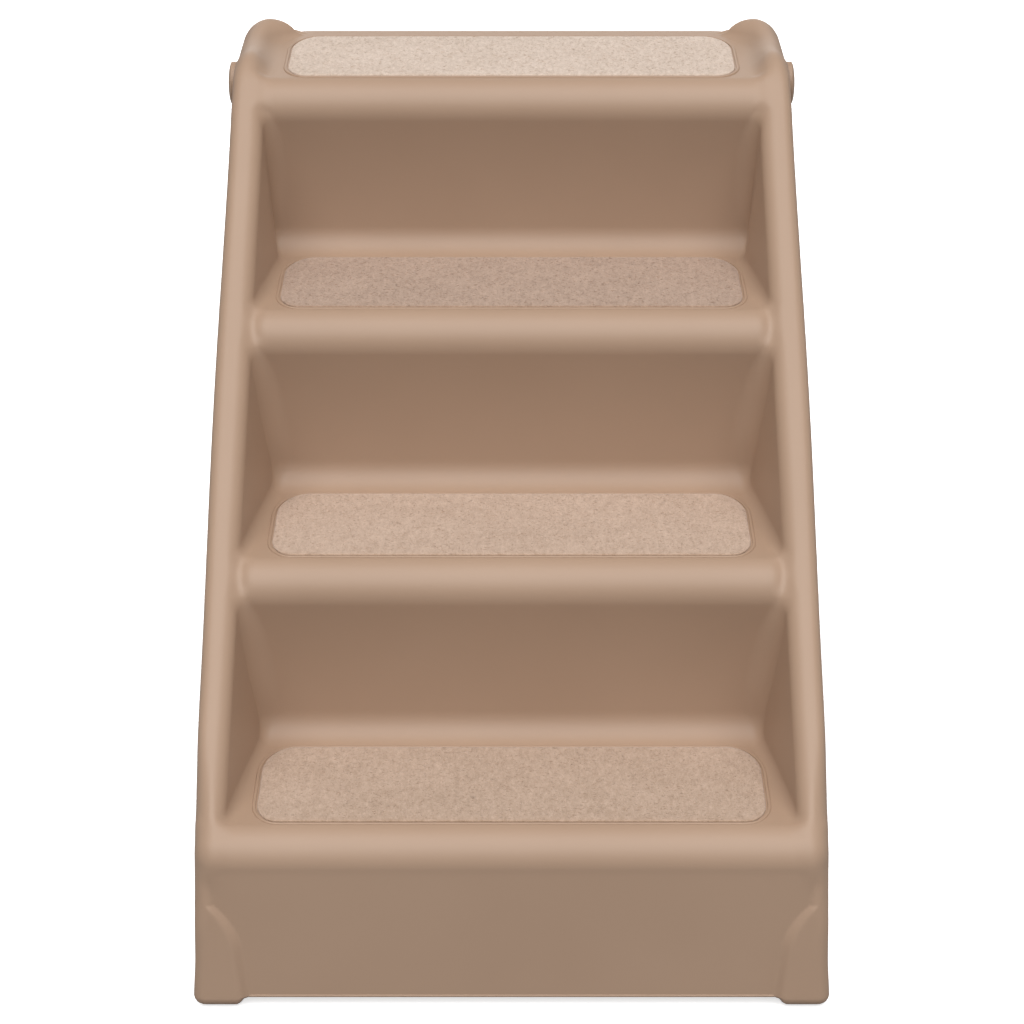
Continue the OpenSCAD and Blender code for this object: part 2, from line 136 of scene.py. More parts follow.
def rounded_window(x: Array, z: Array, width: float, low: float, high: float,
                   radius: float) -> Array:
    """Distance to an upright rounded rectangle in the X-Z plane, centred on X.

    Args:
        x: Places across the stairs, zero in the middle.
        z: Heights above the floor.
        width: Width of the window.
        low: Height of its lower edge.
        high: Height of its upper edge.
        radius: Radius of its corners.

    Returns:
        The distance of each place, negative inside.
    """
    across = np.abs(x) - width / 2 + radius
    upright = slab(z, (low + high) / 2, high - low) + radius
    corner = np.hypot(np.maximum(across, 0.0), np.maximum(upright, 0.0))
    return corner + np.minimum(np.maximum(across, upright), 0.0) - radius


def smooth_step(value: Array, start: float, end: float) -> Array:
    """Rises smoothly from 0 at start to 1 at end."""
    t = np.clip((value - start) / (end - start), 0.0, 1.0)
    return t * t * (3.0 - 2.0 * t)


def eased(value: Array, origin: float, stretch: Stretch) -> Array:
    """Rises smoothly from 0 to 1 over a stretch that is given from an origin."""
    return smooth_step(value, origin + stretch[0], origin + stretch[1])


def direction(degrees: float) -> Array:
    """Unit vector at an angle from the first axis of a plane."""
    return np.array([math.cos(math.radians(degrees)), math.sin(math.radians(degrees))])


def angle_of(run: Array) -> float:
    """Angle of a vector from the first axis of its plane, in degrees."""
    return math.degrees(math.atan2(run[1], run[0]))


@dataclass
class Outline:
    """A chain of lines and arcs that run smoothly into each other, with the solid on its right."""

    stretches: list[tuple] = field(default_factory=list)
    fewest_on_arc: int = 4

    def line(self, start: Sequence[float], end: Sequence[float]) -> "Outline":
        """Adds a straight stretch."""
        self.stretches.append(("line", np.array(start, float), np.array(end, float)))
        return self

    def arc(self, centre: Sequence[float], radius: float, start: float, end: float) -> "Outline":
        """Adds an arc from one angle to another, in degrees."""
        self.stretches.append(("arc", np.array(centre, float), radius, start, end))
        return self

    def distance(self, u: Array, v: Array) -> Array:
        """Signed distance of points in the outline's plane, positive on its left.

        Args:
            u: First coordinate of the points.
            v: Second coordinate of the points.

        Returns:
            The distance of each point.
        """
        best = np.full(np.broadcast(u, v).shape, FAR)
        for stretch in self.stretches:
            shape = self._line_distance if stretch[0] == "line" else self._arc_distance
            value = shape(u, v, *stretch[1:])
            best = np.where(np.abs(value) < np.abs(best), value, best)
        return best

    @staticmethod
    def _line_distance(u: Array, v: Array, start: Array, end: Array) -> Array:
        """Signed distance to one straight stretch.

        Args:
            u: First coordinate of the points.
            v: Second coordinate of the points.
            start: Where the stretch starts.
            end: Where it ends.

        Returns:
            The distance of each point.
        """
        run = end - start
        length = math.hypot(*run)
        along = ((u - start[0]) * run[0] + (v - start[1]) * run[1]) / length
        left = ((v - start[1]) * run[0] - (u - start[0]) * run[1]) / length
        past = along - np.clip(along, 0.0, length)
        return np.where(left < 0, -1.0, 1.0) * np.hypot(left, past)

    @staticmethod
    def _arc_distance(u: Array, v: Array, centre: Array, radius: float, start: float,
                      end: float) -> Array:
        """Signed distance to one arc.

        Args:
            u: First coordinate of the points.
            v: Second coordinate of the points.
            centre: Centre of the arc.
            radius: Its radius.
            start: Angle where it starts, in degrees.
            end: Angle where it ends, in degrees.

        Returns:
            The distance of each point.
        """
        middle = math.radians((start + end) / 2)
        half = math.radians(abs(end - start) / 2)
        turn = (np.arctan2(v - centre[1], u - centre[0]) - middle + math.pi) % (2 * math.pi)
        angle = middle + np.clip(turn - math.pi, -half, half)
        bulge = 1.0 if end < start else -1.0
        du = u - centre[0] - radius * np.cos(angle)
        dv = v - centre[1] - radius * np.sin(angle)
        side = (du * np.cos(angle) + dv * np.sin(angle)) * bulge
        return np.where(side < 0, -1.0, 1.0) * np.hypot(du, dv)

    def points(self, spacing: float) -> Array:
        """Points along the whole chain.

        Args:
            spacing: Largest gap between neighbouring points.

        Returns:
            An array with one row for each point.
        """
        rows = []
        for stretch in self.stretches:
            if stretch[0] == "line":
                start, end = stretch[1:]
                count = max(2, int(math.dist(start, end) / spacing) + 1)
                rows += [start + (end - start) * t for t in np.linspace(0, 1, count)]
            else:
                centre, radius, start, end = stretch[1:]
                length = radius * math.radians(abs(end - start))
                count = max(self.fewest_on_arc, int(length / spacing) + 1)
                rows += [centre + radius * direction(a) for a in np.linspace(start, end, count)]
        return np.array(rows)


def polygon_distance(u: Array, v: Array, corners: Array) -> Array:
    """Signed distance to a polygon, negative inside.

    Args:
        u: First coordinate of the points.
        v: Second coordinate of the points.
        corners: The polygon's corners, one row each.

    Returns:
        The distance of each point.
    """
    nearest = np.full(np.broadcast(u, v).shape, FAR)
    sign = np.ones(nearest.shape)
    for start, end in zip(corners, np.roll(corners, -1, axis=0)):
        run = end - start
        du, dv = u - start[0], v - start[1]
        share = np.clip((du * run[0] + dv * run[1]) / (run @ run), 0.0, 1.0)
        nearest = np.minimum(nearest, (du - run[0] * share) ** 2 + (dv - run[1] * share) ** 2)
        above, below = v >= start[1], v < end[1]
        left = run[0] * dv > run[1] * du
        flip = (above & below & left) | (~above & ~below & ~left)
        sign = np.where(flip, -sign, sign)
    return sign * np.sqrt(nearest)


@dataclass
class Moulding:
    """Turns a signed distance into a smooth closed mesh on a grid of unequal steps."""

    name: str
    solid: Field
    steps: tuple[Array, Array, Array]
    most_triangles: int
    relax_rounds: int = 2
    relax_share: float = 0.5
    settle_rounds: int = 2
    most_shift: float = 1.5
    probe: float = 0.2

    def build(self) -> bpy.types.Object:
        """Makes the object, with its place in its mesh and normals taken from the solid.

        Returns:
            The object, in the scene.
        """
        places, quads = self._net()
        places = self._relaxed(places, quads)
        obj = self._object(places, quads)
        triangles = 2 * len(quads)
        if triangles > self.most_triangles:
            thin = obj.modifiers.new("thin_flats", "DECIMATE")
            thin.ratio = self.most_triangles / triangles
            obj = baked(obj)
        mesh = obj.data
        found = np.zeros(3 * len(mesh.vertices))
        mesh.vertices.foreach_get("co", found)
        slopes = self._slopes(found.reshape(-1, 3) / MM)
        mesh.shade_smooth()
        mesh.normals_split_custom_set_from_vertices(slopes)
        LOG.info("%s: %d triangles from %d", self.name, 2 * len(mesh.polygons), triangles)
        return obj

    def _net(self) -> tuple[Array, Array]:
        """Places one point in each cell that the surface crosses, and joins them by quads.

        Returns:
            One row for each point, and the numbers of the points round each quad.
        """
        xs, ys, zs = self.steps
        value = self.solid(xs[:, None, None], ys[None, :, None], zs[None, None, :])
        value = np.broadcast_to(value, (len(xs), len(ys), len(zs))).astype(np.float32)
        inside = value < 0
        cells = tuple(n - 1 for n in inside.shape)
        total = np.zeros(cells + (3,))
        crossings = np.zeros(cells)
        edges = []
        for axis in range(3):
            low = [slice(None)] * 3
            high = [slice(None)] * 3
            low[axis] = slice(0, -1)
            high[axis] = slice(1, None)
            low, high = tuple(low), tuple(high)
            at = np.argwhere(inside[low] != inside[high])
            start = value[low][tuple(at.T)]
            share = start / (start - value[high][tuple(at.T)])
            place = np.stack([s[at[:, k]] for k, s in enumerate(self.steps)], axis=1)
            grid = self.steps[axis]
            place[:, axis] += share * (grid[at[:, axis] + 1] - grid[at[:, axis]])
            around = []
            for da, db in ((0, 0), (-1, 0), (-1, -1), (0, -1)):
                cell = at.copy()
                cell[:, (axis + 1) % 3] += da
                cell[:, (axis + 2) % 3] += db
                around.append(cell)
                np.add.at(total, tuple(cell.T), place)
                np.add.at(crossings, tuple(cell.T), 1)
            edges.append((around, start < 0))
        used = crossings > 0
        number = np.full(cells, -1)
        number[used] = np.arange(np.count_nonzero(used))
        places = total[used] / crossings[used][:, None]
        quads = []
        for around, leaving in edges:
            corner = np.stack([number[tuple(cell.T)] for cell in around], axis=1)
            corner[~leaving] = corner[~leaving][:, ::-1]
            quads.append(corner)
        return places, np.concatenate(quads)

    def _slopes(self, places: Array) -> Array:
        """Outward unit normals of the solid at some points.

        Args:
            places: One row for each point, in millimetres.

        Returns:
            One unit vector for each point.
        """
        rows = []
        for axis in range(3):
            ahead, behind = places.copy(), places.copy()
            ahead[:, axis] += self.probe
            behind[:, axis] -= self.probe
            rows.append(self.solid(*ahead.T) - self.solid(*behind.T))
        slopes = np.stack(rows, axis=1)
        return slopes / np.maximum(np.linalg.norm(slopes, axis=1), TINY)[:, None]

    def _settled(self, places: Array) -> tuple[Array, Array]:
        """Moves points along the slope onto the surface, and gives the slopes too.

        Args:
            places: One row for each point, in millimetres.

        Returns:
            The moved points and their slopes.
        """
        for _ in range(self.settle_rounds):
            gap = self.solid(*places.T)
            slopes = np.empty_like(places)
            for axis in range(3):
                ahead = places.copy()
                ahead[:, axis] += self.probe
                slopes[:, axis] = self.solid(*ahead.T) - gap
            slopes /= np.maximum(np.linalg.norm(slopes, axis=1), TINY)[:, None]
            shift = np.clip(gap, -self.most_shift, self.most_shift)
            places = places - slopes * shift[:, None]
        return places, slopes

    def _relaxed(self, places: Array, quads: Array) -> Array:
        """Evens out the net between rounds of settling it onto the surface.

        Args:
            places: One row for each point of the net.
            quads: Numbers of the points round each quad.

        Returns:
            The evened points.
        """
        pairs = np.concatenate([quads[:, [k, (k + 1) % 4]] for k in range(4)])
        pairs = np.concatenate([pairs, pairs[:, ::-1]])
        count = np.bincount(pairs[:, 0], minlength=len(places))
        places, slopes = self._settled(places)
        for _ in range(self.relax_rounds):
            middle = np.stack([np.bincount(pairs[:, 0], places[pairs[:, 1], k], len(places))
                               for k in range(3)], axis=1) / count[:, None]
            shift = (middle - places) * self.relax_share
            shift -= slopes * np.sum(shift * slopes, axis=1)[:, None]
            places, slopes = self._settled(places + shift)
        return places

    def _object(self, places: Array, quads: Array) -> bpy.types.Object:
        """Puts the net into a Blender object.

        Args:
            places: One row for each point of the net.
            quads: Numbers of the points round each quad.

        Returns:
            The object, in the scene.
        """
        mesh = bpy.data.meshes.new(self.name)
        mesh.from_pydata((places * MM).tolist(), [], quads.tolist())
        mesh.validate()
        return link(bpy.data.objects.new(self.name, mesh))


def link(obj: bpy.types.Object) -> bpy.types.Object:
    """Adds an object to the scene."""
    bpy.context.scene.collection.objects.link(obj)
    return obj


def baked(obj: bpy.types.Object) -> bpy.types.Object:
    """Applies an object's modifiers.

    Args:
        obj: A mesh object with modifiers.

    Returns:
        The same object with the result as its plain mesh.
    """
    graph = bpy.context.evaluated_depsgraph_get()
    result = bpy.data.meshes.new_from_object(obj.evaluated_get(graph))
    obj.modifiers.clear()
    obj.data = result
    return obj


def even_steps(stretches: Sequence[tuple[float, float, float]]) -> Array:
    """Grid lines made of stretches with their own steps.

    Args:
        stretches: Start, end and largest step of each stretch, in order.

    Returns:
        The grid lines, each once.
    """
    lines = []
    for start, end, step in stretches:
        count = max(1, math.ceil((end - start) / step))
        lines += list(np.linspace(start, end, count + 1)[:-1])
    return np.array(lines + [stretches[-1][1]])


def mirrored_steps(stretches: Sequence[Lines]) -> Array:
    """Grid lines on both sides of zero.

    Args:
        stretches: The stretches of the positive side, from zero outwards.

    Returns:
        The grid lines, each once.
    """
    starts = [0.0] + [end for end, _ in stretches]
    half = even_steps([(start, end, step) for start, (end, step) in zip(starts, stretches)])
    return np.concatenate([-half[:0:-1], half])


def ring_faces(rings: int, count: int) -> list[tuple[int, ...]]:
    """Faces of a closed tube of rings, with a face at both ends.

    Args:
        rings: How many rings the tube has.
        count: How many points each ring has.

    Returns:
        The numbers of the points round each face.
    """
    faces = []
    for ring in range(rings - 1):
        for k in range(count):
            after = (k + 1) % count
            faces.append((ring * count + k, ring * count + after,
                          (ring + 1) * count + after, (ring + 1) * count + k))
    faces.append(tuple(range(count))[::-1])
    faces.append(tuple(range((rings - 1) * count, rings * count)))
    return faces


def wire(name: str, loops: Sequence[Array], closed: bool) -> bpy.types.Object:
    """Makes a mesh of edges only, for a recipe to sweep along.

    Args:
        name: Name of the object.
        loops: Points of each path, in millimetres, one row each.
        closed: Whether each path returns to its start.

    Returns:
        The object.
    """
    edges = []
    start = 0
    for loop in loops:
        count = len(loop)
        edges += [(start + k, start + k + 1) for k in range(count - 1)]
        if closed:
            edges.append((start + count - 1, start))
        start += count
    mesh = bpy.data.meshes.new(name)
    mesh.from_pydata((np.concatenate(loops) * MM).tolist(), edges, [])
    return link(bpy.data.objects.new(name, mesh))


def node_box(node: str) -> tuple[Array, Array]:
    """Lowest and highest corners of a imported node, in millimetres."""
    low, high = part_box(node)
    return np.array(low) / MM, np.array(high) / MM


def side_middle(node: str) -> Array:
    """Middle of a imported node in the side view, in millimetres."""
    low, high = node_box(node)
    return (low + high)[1:] / 2


# Finishes

def linear(hex_colour: str) -> tuple[float, float, float, float]:
    """Turns an sRGB hex colour into linear values with full alpha.

    Args:
        hex_colour: The colour as #rrggbb.

    Returns:
        Red, green, blue and alpha.
    """
    parts = [int(hex_colour[k:k + 2], 16) / 255 for k in (1, 3, 5)]
    values = [c / 12.92 if c <= 0.04045 else ((c + 0.055) / 1.055) ** 2.4 for c in parts]
    return (values[0], values[1], values[2], 1.0)


def feed(tree: bpy.types.NodeTree, node: bpy.types.Node, values: dict | None = None,
         links: dict | None = None) -> bpy.types.Node:
    """Sets and links the input sockets of a node.

    Args:
        tree: The node tree.
        node: The node.
        values: Input sockets, by name or number, and their values.
        links: Input sockets, by name or number, and the output sockets that feed them.

    Returns:
        The same node.
    """
    for name, value in (values or {}).items():
        node.inputs[name].default_value = value
    for name, source in (links or {}).items():
        tree.links.new(source, node.inputs[name])
    return node


def add_node(tree: bpy.types.NodeTree, kind: str, settings: dict | None = None,
             values: dict | None = None, links: dict | None = None) -> bpy.types.Node:
    """Adds a node with its settings and links.

    Args:
        tree: The node tree.
        kind: Blender's name of the node.
        settings: Attributes of the node and their values.
        values: Input sockets, by name or number, and their values.
        links: Input sockets, by name or number, and the output sockets that feed them.

    Returns:
        The new node.
    """
    node = tree.nodes.new(kind)
    for name, value in (settings or {}).items():
        setattr(node, name, value)
    return feed(tree, node, values, links)


class Recipe:
    """A Geometry Nodes tree with named inputs, run on an object whose mesh it then becomes."""

    def __init__(self, name: str, **sockets: str) -> None:
        """Makes the empty tree.

        Args:
            name: Name of the tree.
            sockets: Name and kind of each input beside the geometry.
        """
        self.tree = bpy.data.node_groups.new(name, "GeometryNodeTree")
        face = self.tree.interface
        for side, kinds in (("INPUT", {"Geometry": "Geometry", **sockets}),
                            ("OUTPUT", {"Geometry": "Geometry"})):
            for socket, kind in kinds.items():
                face.new_socket(socket, in_out=side, socket_type=f"NodeSocket{kind}")
        self.inputs = self.tree.nodes.new("NodeGroupInput").outputs

    def finish(self, geometry: bpy.types.NodeSocket) -> "Recipe":
        """Ends the tree in real geometry that wears its material.

        Args:
            geometry: The socket that gives the finished shape.

        Returns:
            The recipe itself.
        """
        real = add_node(self.tree, "GeometryNodeRealizeInstances", links={0: geometry})
        dressed = add_node(self.tree, "GeometryNodeSetMaterial",
                           links={"Geometry": real.outputs[0],
                                  "Material": self.inputs["Material"]})
        add_node(self.tree, "NodeGroupOutput", links={0: dressed.outputs[0]})
        return self

    def run(self, obj: bpy.types.Object, **values: object) -> bpy.types.Object:
        """Runs the tree on an object.

        Args:
            obj: The object.
            values: Name and value of each input, lengths in metres.

        Returns:
            The same object with the result as its plain mesh.
        """
        modifier = obj.modifiers.new(self.tree.name, "NODES")
        modifier.node_group = self.tree
        for item in self.tree.interface.items_tree:
            if item.in_out == "INPUT" and item.name in values:
                modifier[item.identifier] = values[item.name]
        mesh = baked(obj).data
        mesh.polygons.foreach_set("material_index", np.zeros(len(mesh.polygons), np.int32))
        return dress(obj, values["Material"])


def bead_recipe() -> Recipe:
    """Recipe for an oval bead that runs along the edges of a wire.

    Returns:
        The recipe.
    """
    recipe = Recipe("swept_bead", Width="Float", Height="Float", Sides="Int", Material="Material")
    tree, inputs = recipe.tree, recipe.inputs
    path = add_node(tree, "GeometryNodeMeshToCurve", links={"Mesh": inputs["Geometry"]})
    upright = add_node(tree, "GeometryNodeSetCurveNormal", {"mode": "Z_UP"},
                       links={"Curve": path.outputs[0]})
    ring = add_node(tree, "GeometryNodeCurvePrimitiveCircle", values={"Radius": 0.5},
                    links={"Resolution": inputs["Sides"]})
    size = add_node(tree, "ShaderNodeCombineXYZ", values={"Z": 1.0},
                    links={"X": inputs["Width"], "Y": inputs["Height"]})
    oval = add_node(tree, "GeometryNodeTransform",
                    links={"Geometry": ring.outputs[0], "Scale": size.outputs[0]})
    bead = add_node(tree, "GeometryNodeCurveToMesh", values={"Fill Caps": True},
                    links={"Curve": upright.outputs[0], "Profile Curve": oval.outputs[0]})
    smooth = add_node(tree, "GeometryNodeSetShadeSmooth", links={"Geometry": bead.outputs[0]})
    return recipe.finish(smooth.outputs[0])


def fibre_recipe() -> Recipe:
    """Recipe for short arched fibres scattered over the upper side of a felt pad.

    Returns:
        The recipe.
    """
    facing_up = 0.9
    arch_points = ((-0.5, -0.05), (0.0, 0.15), (0.5, -0.05))
    least_turn, most_turn = (-0.12, -0.12, -math.pi), (0.12, 0.12, math.pi)
    least_size, most_size = 0.5, 1.3
    recipe = Recipe("felt_fibres", Density="Float", Length="Float", Thickness="Float", Seed="Int",
                    Material="Material")
    tree, inputs = recipe.tree, recipe.inputs
    normal = add_node(tree, "GeometryNodeInputNormal")
    parts = add_node(tree, "ShaderNodeSeparateXYZ", links={0: normal.outputs[0]})
    upper = add_node(tree, "FunctionNodeCompare", {"operation": "GREATER_THAN"}, {1: facing_up},
                     {0: parts.outputs["Z"]})
    roots = add_node(tree, "GeometryNodeDistributePointsOnFaces",
                     links={"Mesh": inputs["Geometry"], "Selection": upper.outputs[0],
                            "Density": inputs["Density"], "Seed": inputs["Seed"]})
    ends = []
    for along, up in arch_points:
        place = add_node(tree, "ShaderNodeVectorMath", {"operation": "SCALE"},
                         {0: (along, 0.0, up)}, {"Scale": inputs["Length"]})
        ends.append(place.outputs[0])
    arch = add_node(tree, "GeometryNodeCurveQuadraticBezier", values={"Resolution": 2},
                    links={"Start": ends[0], "Middle": ends[1], "End": ends[2]})
    half = add_node(tree, "ShaderNodeMath", {"operation": "MULTIPLY"}, {1: 0.5},
                    {0: inputs["Thickness"]})
    ring = add_node(tree, "GeometryNodeCurvePrimitiveCircle", values={"Resolution": 3},
                    links={"Radius": half.outputs[0]})
    fibre = add_node(tree, "GeometryNodeCurveToMesh", values={"Fill Caps": True},
                     links={"Curve": arch.outputs[0], "Profile Curve": ring.outputs[0]})
    turn = add_node(tree, "FunctionNodeRandomValue", {"data_type": "FLOAT_VECTOR"},
                    {0: least_turn, 1: most_turn}, {"Seed": inputs["Seed"]})
    size = add_node(tree, "FunctionNodeRandomValue", {"data_type": "FLOAT"},
                    {2: least_size, 3: most_size}, {"Seed": inputs["Seed"]})
    spread = add_node(tree, "GeometryNodeInstanceOnPoints",
                      links={"Points": roots.outputs[0], "Instance": fibre.outputs[0],
                             "Rotation": turn.outputs[0], "Scale": size.outputs[1]})
    return recipe.finish(spread.outputs[0])


def new_material(name: str) -> tuple[bpy.types.Material, bpy.types.NodeTree, bpy.types.Node]:
    """Makes a material with a bare shader and returns it with its tree and its shader.

    Args:
        name: Name of the finish.

    Returns:
        The material, its tree and its shader.
    """
    material = bpy.data.materials.new(name)
    material.use_nodes = True
    return material, material.node_tree, material.node_tree.nodes["Principled BSDF"]


def dress(obj: bpy.types.Object, material: bpy.types.Material) -> bpy.types.Object:
    """Gives an object one material.

    Args:
        obj: The object.
        material: The material.

    Returns:
        The same object.
    """
    obj.data.materials.clear()
    obj.data.materials.append(material)
    return obj


@dataclass(frozen=True)
class MouldedPolypropylene:
    """Polypropylene with a spark-eroded grain: a soft, even sheen with no sharp reflections.

    The real grain is about 0.2 mm wide. It is drawn coarser, so that it shows.
    """

    name: str = "moulded_polypropylene"
    base: str = "#ab8f79"
    shade: str = "#a58973"
    grain_mm: float = 0.9
    grain_depth_mm: float = 0.05
    grain_strength: float = 0.35
    flow_mm: float = 90.0
    roughness: float = 0.5
    roughness_spread: float = 0.06
    ior: float = 1.49

    def make(self) -> bpy.types.Material:
        """Builds the material on Object coordinates.

        Returns:
            The finished material.
        """
        material, tree, shader = new_material(self.name)
        place = add_node(tree, "ShaderNodeTexCoord").outputs["Object"]
        flow = add_node(tree, "ShaderNodeTexNoise", values={"Scale": 1 / (self.flow_mm * MM),
                        "Detail": 2.0}, links={"Vector": place})
        tint = add_node(tree, "ShaderNodeMix", {"data_type": "RGBA"},
                        {6: linear(self.base), 7: linear(self.shade)},
                        {0: flow.outputs["Fac"]})
        grain = add_node(tree, "ShaderNodeTexNoise", values={"Scale": 1 / (self.grain_mm * MM),
                         "Detail": 3.0, "Roughness": 0.6}, links={"Vector": place})
        gloss = add_node(tree, "ShaderNodeMapRange",
                         values={"To Min": self.roughness - self.roughness_spread,
                                 "To Max": self.roughness + self.roughness_spread},
                         links={"Value": grain.outputs["Fac"]})
        bump = add_node(tree, "ShaderNodeBump", values={"Strength": self.grain_strength,
                        "Distance": self.grain_depth_mm * MM},
                        links={"Height": grain.outputs["Fac"]})
        feed(tree, shader, {"IOR": self.ior},
             {"Base Color": tint.outputs[2], "Roughness": gloss.outputs[0],
              "Normal": bump.outputs[0]})
        return material


@dataclass(frozen=True)
class NeedleFelt:
    """Needle-punched polyester felt: matte and mottled, with short loose fibres that catch light.

    The fibres lie along the pad's depth, so the pattern is drawn out that way. Real fibres are
    about 0.04 mm thick. The pattern of them is drawn coarser, so that it shows.
    """

    name: str = "needle_felt"
    light: str = "#c2ab99"
    dark: str = "#a08672"
    mottle_mm: float = 3.2
    fibre_mm: float = 1.0
    cloud_mm: float = 45.0
    drawn_out: float = 2.6
    fibre_depth_mm: float = 0.35
    fibre_strength: float = 0.6
    fibre_weight: float = 1.1
    cloud_weight: float = 0.3
    darkest_at: float = 0.85
    lightest_at: float = 1.55
    roughness: float = 0.95
    sheen: float = 0.35
    sheen_roughness: float = 0.6
    specular: float = 0.15

    def make(self) -> bpy.types.Material:
        """Builds the material on Object coordinates.

        Returns:
            The finished material.
        """
        material, tree, shader = new_material(self.name)
        place = add_node(tree, "ShaderNodeTexCoord").outputs["Object"]
        drawn = add_node(tree, "ShaderNodeMapping",
                         values={"Scale": (1.0, 1 / self.drawn_out, 1.0)},
                         links={"Vector": place}).outputs[0]
        cloud = add_node(tree, "ShaderNodeTexNoise", values={"Scale": 1 / (self.cloud_mm * MM),
                         "Detail": 2.0}, links={"Vector": place})
        mottle = add_node(tree, "ShaderNodeTexNoise", values={"Scale": 1 / (self.mottle_mm * MM),
                          "Detail": 4.0, "Roughness": 0.7}, links={"Vector": drawn})
        fibre = add_node(tree, "ShaderNodeTexNoise", values={"Scale": 1 / (self.fibre_mm * MM),
                         "Detail": 3.0, "Roughness": 0.7, "Distortion": 0.8},
                         links={"Vector": drawn})
        both = add_node(tree, "ShaderNodeMath", {"operation": "MULTIPLY_ADD"},
                        {1: self.fibre_weight},
                        {0: fibre.outputs["Fac"], 2: mottle.outputs["Fac"]})
        whole = add_node(tree, "ShaderNodeMath", {"operation": "MULTIPLY_ADD"},
                         {1: self.cloud_weight},
                         {0: cloud.outputs["Fac"], 2: both.outputs[0]})
        spread = add_node(tree, "ShaderNodeMapRange",
                          values={"From Min": self.darkest_at, "From Max": self.lightest_at},
                          links={"Value": whole.outputs[0]})
        tint = add_node(tree, "ShaderNodeMix", {"data_type": "RGBA"},
                        {6: linear(self.dark), 7: linear(self.light)}, {0: spread.outputs[0]})
        bump = add_node(tree, "ShaderNodeBump", values={"Strength": self.fibre_strength,
                        "Distance": self.fibre_depth_mm * MM}, links={"Height": both.outputs[0]})
        feed(tree, shader, {"Roughness": self.roughness, "Sheen Weight": self.sheen,
                            "Sheen Roughness": self.sheen_roughness,
                            "Specular IOR Level": self.specular},
             {"Base Color": tint.outputs[2], "Normal": bump.outputs[0]})
        return material


def make_felt_with_painted_light() -> list[bpy.types.Material]:
    """Makes the pads' felt, lowest tread first: copies of one felt with painted light and shade in
    their tints, the top pad lightest and the third darkest.

    Returns:
        One material for each pad.
    """
    # Painted light and shade: the top pad's tints are lighter and the third's darker.
    painted_light_tints = (("#c0a590", "#9b7f67"), ("#c8ad98", "#a2856e"), ("#b89b86", "#90735e"),
              ("#dcc8b8", "#b39c88"))
    return [NeedleFelt(f"needle_felt_{number}", light, dark).make()
            for number, (light, dark) in enumerate(painted_light_tints, 1)]


@dataclass(frozen=True)
class SoftRubber:
    """Thermoplastic rubber, moulded: dark, dull and slightly dusty."""

    name: str = "soft_rubber"
    base: str = "#6d5a4c"
    dust: str = "#83705f"
    grain_mm: float = 1.2
    grain_depth_mm: float = 0.1
    grain_strength: float = 0.4
    roughness: float = 0.8

    def make(self) -> bpy.types.Material:
        """Builds the material on Object coordinates.

        Returns:
            The finished material.
        """
        material, tree, shader = new_material(self.name)
        place = add_node(tree, "ShaderNodeTexCoord").outputs["Object"]
        grain = add_node(tree, "ShaderNodeTexNoise", values={"Scale": 1 / (self.grain_mm * MM),
                         "Detail": 3.0}, links={"Vector": place})
        tint = add_node(tree, "ShaderNodeMix", {"data_type": "RGBA"},
                        {6: linear(self.base), 7: linear(self.dust)}, {0: grain.outputs["Fac"]})
        bump = add_node(tree, "ShaderNodeBump", values={"Strength": self.grain_strength,
                        "Distance": self.grain_depth_mm * MM},
                        links={"Height": grain.outputs["Fac"]})
        feed(tree, shader, {"Roughness": self.roughness},
             {"Base Color": tint.outputs[2], "Normal": bump.outputs[0]})
        return material


@dataclass(frozen=True)
class ZincPlatedSteel:
    """Drawn steel with bright zinc plating: fine streaks along the bar and a soft mirror."""

    name: str = "zinc_plated_steel"
    base: str = "#c3c7cb"
    streak: str = "#a4a8ad"
    streak_mm: float = 0.8
    length_mm: float = 30.0
    smoothest: float = 0.22
    roughest: float = 0.42

    def make(self) -> bpy.types.Material:
        """Builds the material on Object coordinates, with the streaks along X.

        Returns:
            The finished material.
        """
        material, tree, shader = new_material(self.name)
        place = add_node(tree, "ShaderNodeTexCoord").outputs["Object"]
        across = 1 / (self.streak_mm * MM)
        turned = add_node(tree, "ShaderNodeMapping",
                          values={"Scale": (1 / (self.length_mm * MM), across, across)},
                          links={"Vector": place})
        streaks = add_node(tree, "ShaderNodeTexNoise", values={"Scale": 1.0, "Detail": 3.0},
                           links={"Vector": turned.outputs[0]})
        tint = add_node(tree, "ShaderNodeMix", {"data_type": "RGBA"},
                        {6: linear(self.base), 7: linear(self.streak)},
                        {0: streaks.outputs["Fac"]})
        gloss = add_node(tree, "ShaderNodeMapRange",
                         values={"To Min": self.smoothest, "To Max": self.roughest},
                         links={"Value": streaks.outputs["Fac"]})
        feed(tree, shader, {"Metallic": 1.0},
             {"Base Color": tint.outputs[2], "Roughness": gloss.outputs[0]})
        return material


@dataclass(frozen=True)
class StudioFloor:
    """Opal acrylic sheet of a photo table, lit from below: white and matte, with faint shadows."""

    name: str = "lit_acrylic_floor"
    seen: str = "#f9f9f9"
    bounced: str = "#a0a0a0"
    glow: float = 0.7
    roughness: float = 0.9

    def make(self) -> bpy.types.Material:
        """Builds the material: pale and softly lit from below in view, dim where light bounces.

        Returns:
            The finished material.
        """
        material, tree, shader = new_material(self.name)
        ray = add_node(tree, "ShaderNodeLightPath")
        tint = add_node(tree, "ShaderNodeMix", {"data_type": "RGBA"},
                        {6: linear(self.bounced), 7: linear(self.seen)},
                        {0: ray.outputs["Is Camera Ray"]})
        glow = add_node(tree, "ShaderNodeMath", {"operation": "MULTIPLY"}, {1: self.glow},
                        {0: ray.outputs["Is Camera Ray"]})
        feed(tree, shader, {"Emission Color": linear(self.seen), "Roughness": self.roughness,
                            "Specular IOR Level": 0.0},
             {"Base Color": tint.outputs[2], "Emission Strength": glow.outputs[0]})
        return material


